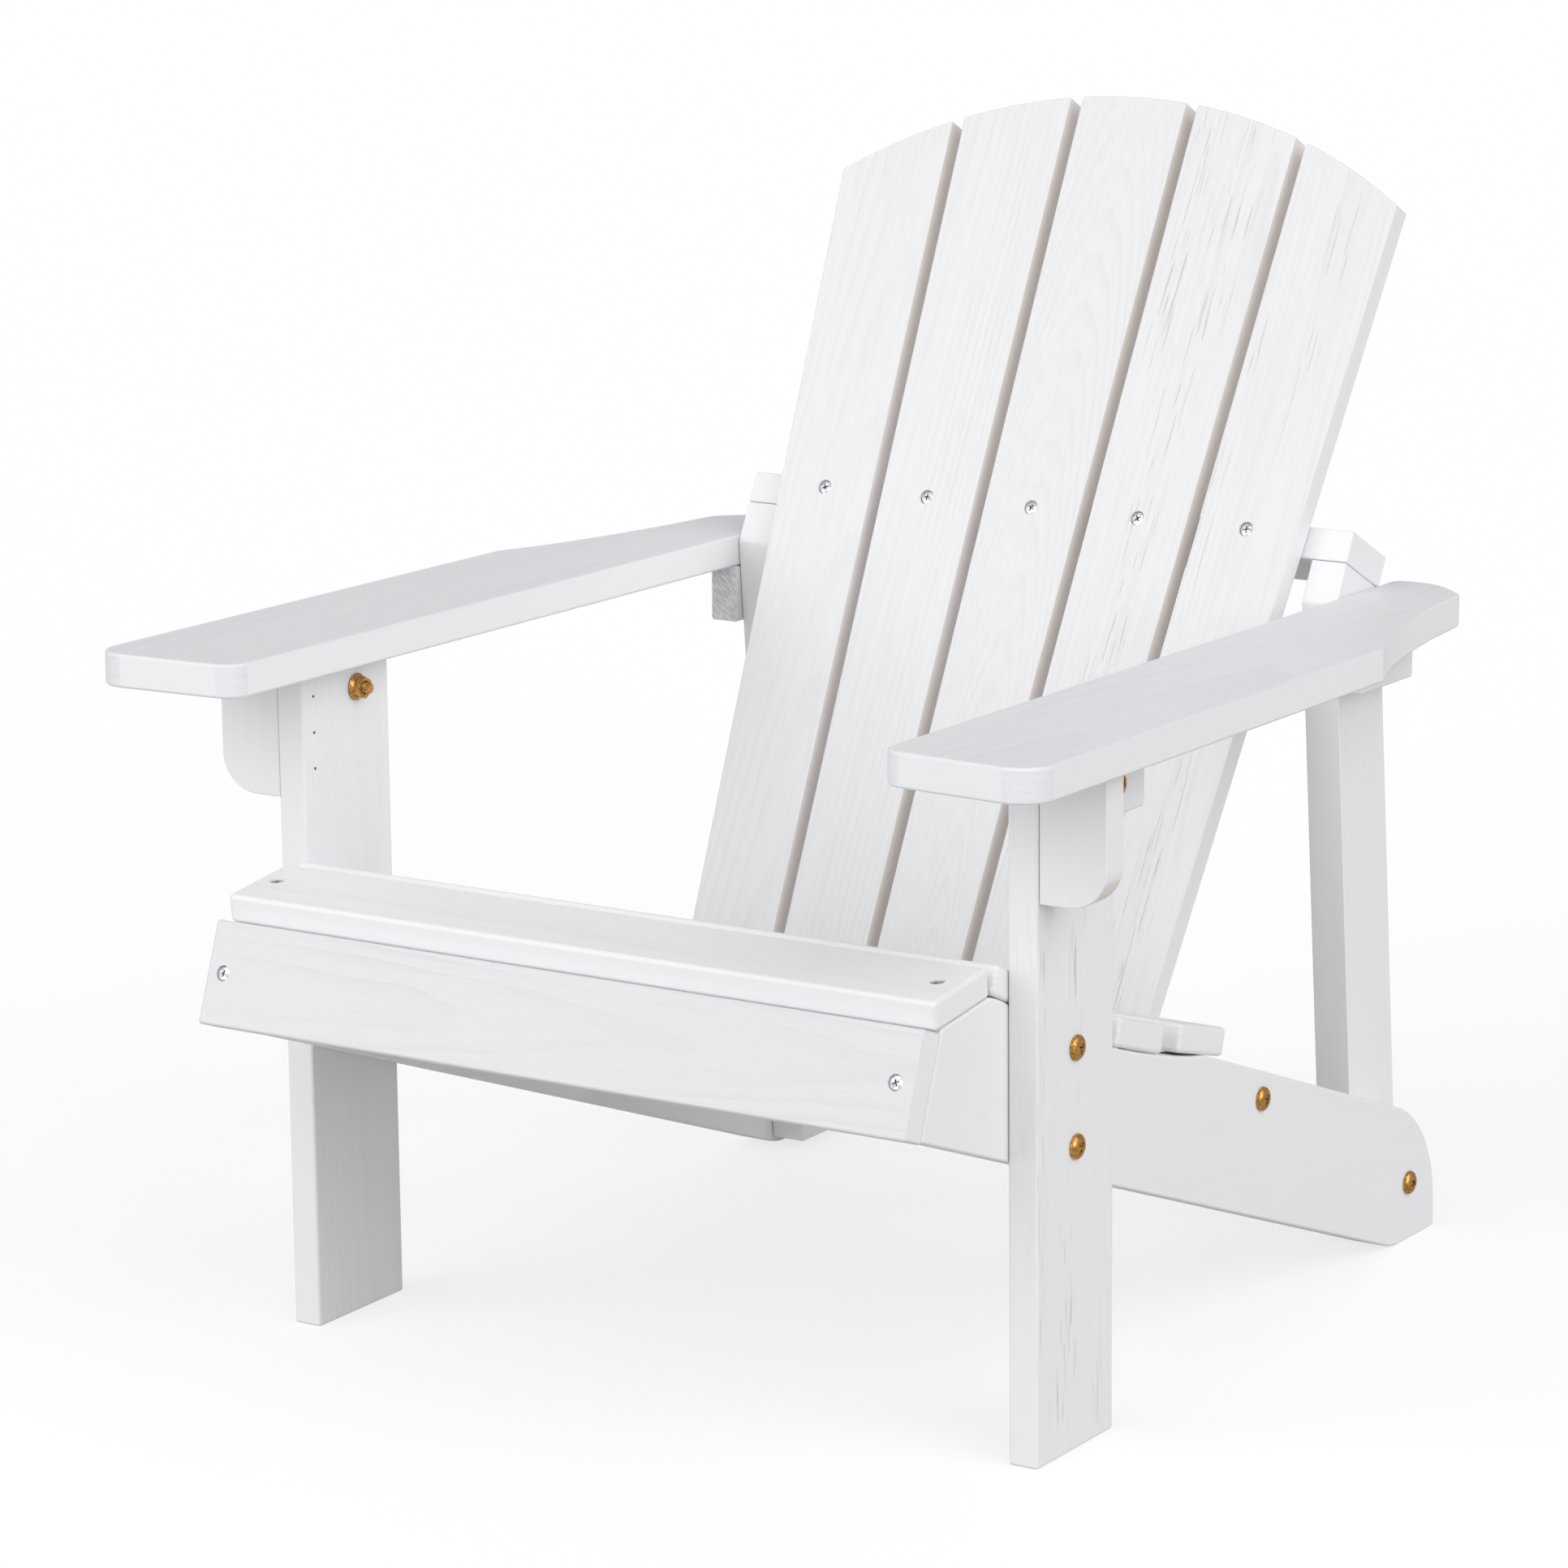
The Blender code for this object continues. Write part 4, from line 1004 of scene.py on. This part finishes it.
class CHAIR_OT_front_legs(ChairOperator, bpy.types.Operator):
    """Front legs outside the rails"""

    bl_idname = "chair.front_legs"
    bl_label = "Front legs"

    def execute(self, context):
        radius = context.scene.chair_boards.eased_radius
        make_board("front_leg_left", "checked_leg", radius=radius, pith=(0.01, -0.09))
        make_board("front_leg_right", "leg", radius=radius, pith=(-0.02, -0.07))
        return {"FINISHED"}


class CHAIR_OT_rear_posts(ChairOperator, bpy.types.Operator):
    """Rear posts inside the rails"""

    bl_idname = "chair.rear_posts"
    bl_label = "Rear posts"

    def execute(self, context):
        radius = context.scene.chair_boards.crisp_radius
        for node in both("rear_post"):
            make_board(node, "leg", radius=radius)
        return {"FINISHED"}


class CHAIR_OT_armrests(ChairOperator, bpy.types.Operator):
    """Armrests with a broad front and a narrow tail"""

    bl_idname = "chair.armrests"
    bl_label = "Armrests"

    def execute(self, context):
        boards = context.scene.chair_boards
        for node in both("armrest"):
            # The armrests' broad faces take painted shade with a cool cast.
            make_board(node, "arm", paint=boards.arm_cool_shade_paint, radius=boards.eased_radius)
        return {"FINISHED"}


class CHAIR_OT_arm_brackets(ChairOperator, bpy.types.Operator):
    """Brackets under the front of the armrests"""

    bl_idname = "chair.arm_brackets"
    bl_label = "Arm brackets"

    def execute(self, context):
        radius = context.scene.chair_boards.crisp_radius
        for node in both("arm_bracket"):
            # The brackets' downward faces take the bare-wood tan, darkened as painted shade under the
            # armrests.
            make_board(node, "block", radius=radius, bare=lambda normal: normal.z < FACING_DOWN)
        return {"FINISHED"}


class CHAIR_OT_arm_cleats(ChairOperator, bpy.types.Operator):
    """Cleats that hold the armrests to the legs and posts"""

    bl_idname = "chair.arm_cleats"
    bl_label = "Arm cleats"

    def execute(self, context):
        radius = context.scene.chair_boards.eased_radius
        for node in both("front_arm_cleat"):
            make_board(node, "block", screws=cleat_spots(node), radius=radius)
        for node in both("rear_arm_cleat"):
            screws = cleat_spots(node)
            make_board(node, "block", screws, radius, torn=lambda normal: normal.y < FACING_FRONT)
        return {"FINISHED"}


class CHAIR_OT_seat_slats(ChairOperator, bpy.types.Operator):
    """Slats of the seat"""

    bl_idname = "chair.seat_slats"
    bl_label = "Seat slats"

    def execute(self, context):
        for node in nodes_named("seat_slat"):
            make_board(node, "seat", screws=seat_spots(Board(node)))
        return {"FINISHED"}


class CHAIR_OT_apron(ChairOperator, bpy.types.Operator):
    """Board across the front of the seat"""

    bl_idname = "chair.apron"
    bl_label = "Apron"

    def execute(self, context):
        boards = context.scene.chair_boards
        screws = screw_spots(both("apron_screw"), front_of(Board("apron")))
        # The apron's broad faces take a darker copy of the white paint as painted shade.
        make_board("apron", "apron", screws, boards.eased_radius, boards.apron_shade_paint, pith=(0.0, -0.05))
        return {"FINISHED"}


class CHAIR_OT_back_slats(ChairOperator, bpy.types.Operator):
    """Fanned slats of the back"""

    bl_idname = "chair.back_slats"
    bl_label = "Back slats"

    def execute(self, context):
        boards = context.scene.chair_boards
        slats = back_slats()
        # The slats' sides that face into the gaps take the bare-wood tan, darkened as painted shade between
        # the slats. The outer sides of the end slats keep the white paint.
        gaps = {
            slats[0]: lambda normal: normal.x > FACING_GAP,
            slats[-1]: lambda normal: normal.x < -FACING_GAP,
        }
        heart = {"pith": (0.0, -0.03), "lean": (0.0, 0.09)}
        for node in slats:
            number = node.rsplit("_", 1)[1]
            lower = lower_back_spot(Board(node))
            upper = (head_of("back_slat_screw_" + number, lower[1]), lower[1])
            kind = "checked_slat" if number in "45" else "slat"
            bare = gaps.get(node, lambda normal: abs(normal.x) > FACING_GAP)
            # The slats' broad faces take a darker copy of the white paint as painted shade.
            make_board(
                node, kind, [upper, lower], boards.crisp_radius, boards.back_shade_paint, bare=bare,
                **(heart if number == "3" else {}),
            )
        return {"FINISHED"}


class CHAIR_OT_back_rails(ChairOperator, bpy.types.Operator):
    """Boards across the back that carry the slats"""

    bl_idname = "chair.back_rails"
    bl_label = "Back rails"

    def execute(self, context):
        up = Board("back_crossbar").through
        radius = context.scene.chair_boards.crisp_radius
        make_board("back_crossbar", "leg", screws=screw_spots(both("crossbar_screw"), up), radius=radius)
        make_board("lower_back_rail", "leg", radius=radius)
        return {"FINISHED"}


class CHAIR_OT_bolts(ChairOperator, bpy.types.Operator):
    """Domed bolts with their flange nuts, and the barrel nuts"""

    bl_idname = "chair.bolts"
    bl_label = "Bolts and nuts"

    def execute(self, context):
        steel = plated("yellow_zinc_plating", "yellow", YELLOW_ROUGHNESS)
        nut = nut_mesh()
        bolts = {}
        for node in nodes_named("_bolt_"):
            low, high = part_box(node)
            sign = outward(node)
            reach = round(high.x - low.x - DOME_HEIGHT, 5)
            if reach not in bolts:
                bolts[reach] = bolt_mesh(reach)
            outer = (high.x if sign > 0 else low.x) - sign * DOME_HEIGHT
            turn = Matrix.Rotation(BOLT_TURN + len(node) * BOLT_TURN_STEP, 4, "Z")
            mesh = joined(bolts[reach], [along_x(low, high, outer, sign) @ turn], node)
            finish_piece(node + "_domed", mesh, steel, [node])
        for node in nodes_named("_nut_"):
            if "barrel" in node:
                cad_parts[node].data.materials.clear()
                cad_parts[node].data.materials.append(steel)
                continue
            low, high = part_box(node)
            sign = outward(node)
            seat = high.x if sign > 0 else low.x
            mesh = joined(nut, [along_x(low, high, seat, -sign)], node)
            finish_piece(node + "_flanged", mesh, steel, [node])
        return {"FINISHED"}


class CHAIR_OT_screws(ChairOperator, bpy.types.Operator):
    """Countersunk screws and the brackets' brads"""

    bl_idname = "chair.screws"
    bl_label = "Screws and brads"

    def execute(self, context):
        apron = both("apron_screw")
        place_screws("apron_screws", APRON_SCREW, screw_spots(apron, front_of(Board("apron"))), apron)
        slats = [Board(node) for node in back_slats()]
        upper = nodes_named("back_slat_screw")
        place_screws("upper_back_screws", UPPER_BACK_SCREW, screw_spots(upper, front_of(slats[0])), upper)
        place_screws("lower_back_screws", LOWER_BACK_SCREW, [lower_back_spot(slat) for slat in slats])
        up = Board("back_crossbar").through
        crossbar = both("crossbar_screw")
        place_screws("crossbar_screws", CROSSBAR_SCREW, screw_spots(crossbar, up), crossbar)
        seat = [spot for node in nodes_named("seat_slat") for spot in seat_spots(Board(node))]
        place_screws("seat_screws", SEAT_SCREW, seat)
        cleats = both("front_arm_cleat") + both("rear_arm_cleat")
        place_screws("arm_screws", ARM_SCREW, [spot for cleat in cleats for spot in cleat_spots(cleat)])
        profile = [
            (0, BRAD_CROWN), (BRAD_RADIUS, 0.1 * MM), (BRAD_RADIUS, -BRAD_LENGTH + BRAD_POINT),
            (0, -BRAD_LENGTH),
        ]
        brad = turned_solid(profile, BRAD_STEPS)
        brads = joined(mesh_from(brad, "brad"), [facing(*spot) for spot in brad_spots()], "bracket_brads")
        steel = plated("brad_steel", "brad", BRAD_ROUGHNESS)
        finish_piece("bracket_brads", brads, steel)
        return {"FINISHED"}


class CHAIR_OT_studio(ChairOperator, bpy.types.Operator):
    """Pale floor, soft light and the camera"""

    bl_idname = "chair.studio"
    bl_label = "Studio"

    def execute(self, context):
        settings = context.scene.chair_studio
        make_floor(settings)
        make_lights(context.scene, settings)
        make_camera(context.scene, settings)
        return {"FINISHED"}


def make_floor(settings):
    bm = bmesh.new()
    bmesh.ops.create_grid(bm, x_segments=FLOOR_SQUARES, y_segments=FLOOR_SQUARES, size=FLOOR_REACH)
    floor = placed("studio_floor", mesh_from(bm, "studio_floor"))
    material, n, shader = shader_of("studio_floor")
    shader.inputs["Base Color"].default_value = (*settings.floor, 1)
    shader.inputs["Roughness"].default_value = FLOOR_ROUGHNESS
    shader.inputs["Specular IOR Level"].default_value = FLOOR_SHEEN
    shader.inputs["Emission Strength"].default_value = settings.floor_glow
    path = n.add("ShaderNodeLightPath")
    seen = n.math("MAXIMUM", path.outputs["Is Camera Ray"], FLOOR_BOUNCE)
    n.put(seen, shader.inputs["Emission Color"])
    floor.data.materials.append(material)


def make_lights(scene, settings):
    world = bpy.data.worlds.new("studio_light")
    world.use_nodes = True
    background = world.node_tree.nodes["Background"]
    background.inputs["Color"].default_value = (1, 1, 1, 1)
    background.inputs["Strength"].default_value = settings.sky
    scene.world = world
    add_sun("front_light", settings.front, Vector(FRONT_LIGHT_FROM))
    add_sun("side_light", settings.side, Vector(SIDE_LIGHT_FROM))
    fill = bpy.data.lights.new("fill_light", "AREA")
    fill.energy = settings.fill
    fill.size = FILL_SIZE
    lamp = placed("fill_light", fill)
    lamp.location = FILL_PLACE
    lamp.rotation_euler = Vector(FILL_FROM).to_track_quat("Z", "Y").to_euler()


def add_sun(name, energy, source):
    light = bpy.data.lights.new(name, "SUN")
    light.energy = energy
    light.angle = SUN_SPREAD
    lamp = placed(name, light)
    lamp.rotation_euler = source.to_track_quat("Z", "Y").to_euler()


def make_camera(scene, settings):
    """The camera stands off the front legs, and looks at the middle of the chair."""
    across, up = settings.azimuth, settings.elevation
    right = Vector((math.cos(across), math.sin(across), 0))
    back = Vector((math.sin(across) * math.cos(up), -math.cos(across) * math.cos(up), math.sin(up)))
    top = back.cross(right)
    leaned_right = right * math.cos(settings.roll) + top * math.sin(settings.roll)
    leaned_top = top * math.cos(settings.roll) - right * math.sin(settings.roll)
    legs_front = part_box("front_leg_left")[0].y
    data = bpy.data.cameras.new("studio_camera")
    data.lens = settings.lens
    data.sensor_width = SENSOR_WIDTH
    data.clip_end = FARTHEST
    camera = placed("studio_camera", data)
    place = Vector((CAMERA_ASIDE, legs_front - CAMERA_AHEAD, CAMERA_HEIGHT))
    rotation = Matrix((leaned_right, leaned_top, back)).transposed()
    camera.matrix_world = Matrix.Translation(place) @ rotation.to_4x4()
    scene.camera = camera


OPERATORS = (
    CHAIR_OT_side_rails, CHAIR_OT_front_legs, CHAIR_OT_rear_posts, CHAIR_OT_armrests, CHAIR_OT_arm_brackets,
    CHAIR_OT_arm_cleats, CHAIR_OT_seat_slats, CHAIR_OT_apron, CHAIR_OT_back_slats, CHAIR_OT_back_rails,
    CHAIR_OT_bolts, CHAIR_OT_screws, CHAIR_OT_studio,
)


class VIEW3D_PT_chair(bpy.types.Panel):
    """Lists the chair's pieces and their settings"""

    bl_idname = "VIEW3D_PT_chair"
    bl_label = "Adirondack Chair"
    bl_space_type = "VIEW_3D"
    bl_region_type = "UI"
    bl_category = "Chair"

    def draw(self, context):
        layout = self.layout
        for group in (context.scene.chair_boards, context.scene.chair_hardware, context.scene.chair_studio):
            box = layout.box()
            for name in group.bl_rna.properties.keys():
                if name not in ("rna_type", "name"):
                    box.prop(group, name)
        for operator in OPERATORS:
            layout.operator(operator.bl_idname)


SETTINGS = (
    ("chair_boards", BoardSettings), ("chair_hardware", HardwareSettings), ("chair_studio", StudioSettings),
)


def register():
    for name, kind in SETTINGS:
        bpy.utils.register_class(kind)
        setattr(bpy.types.Scene, name, PointerProperty(type=kind))
    for kind in (*OPERATORS, VIEW3D_PT_chair):
        bpy.utils.register_class(kind)


def unregister():
    for kind in (VIEW3D_PT_chair, *reversed(OPERATORS)):
        bpy.utils.unregister_class(kind)
    for name, kind in reversed(SETTINGS):
        delattr(bpy.types.Scene, name)
        bpy.utils.unregister_class(kind)


def main():
    register()
    for operator in OPERATORS:
        module, name = operator.bl_idname.split(".")
        getattr(getattr(bpy.ops, module), name)()
    bpy.context.scene.view_settings.view_transform = "Standard"


if __name__ == "__main__":
    main()
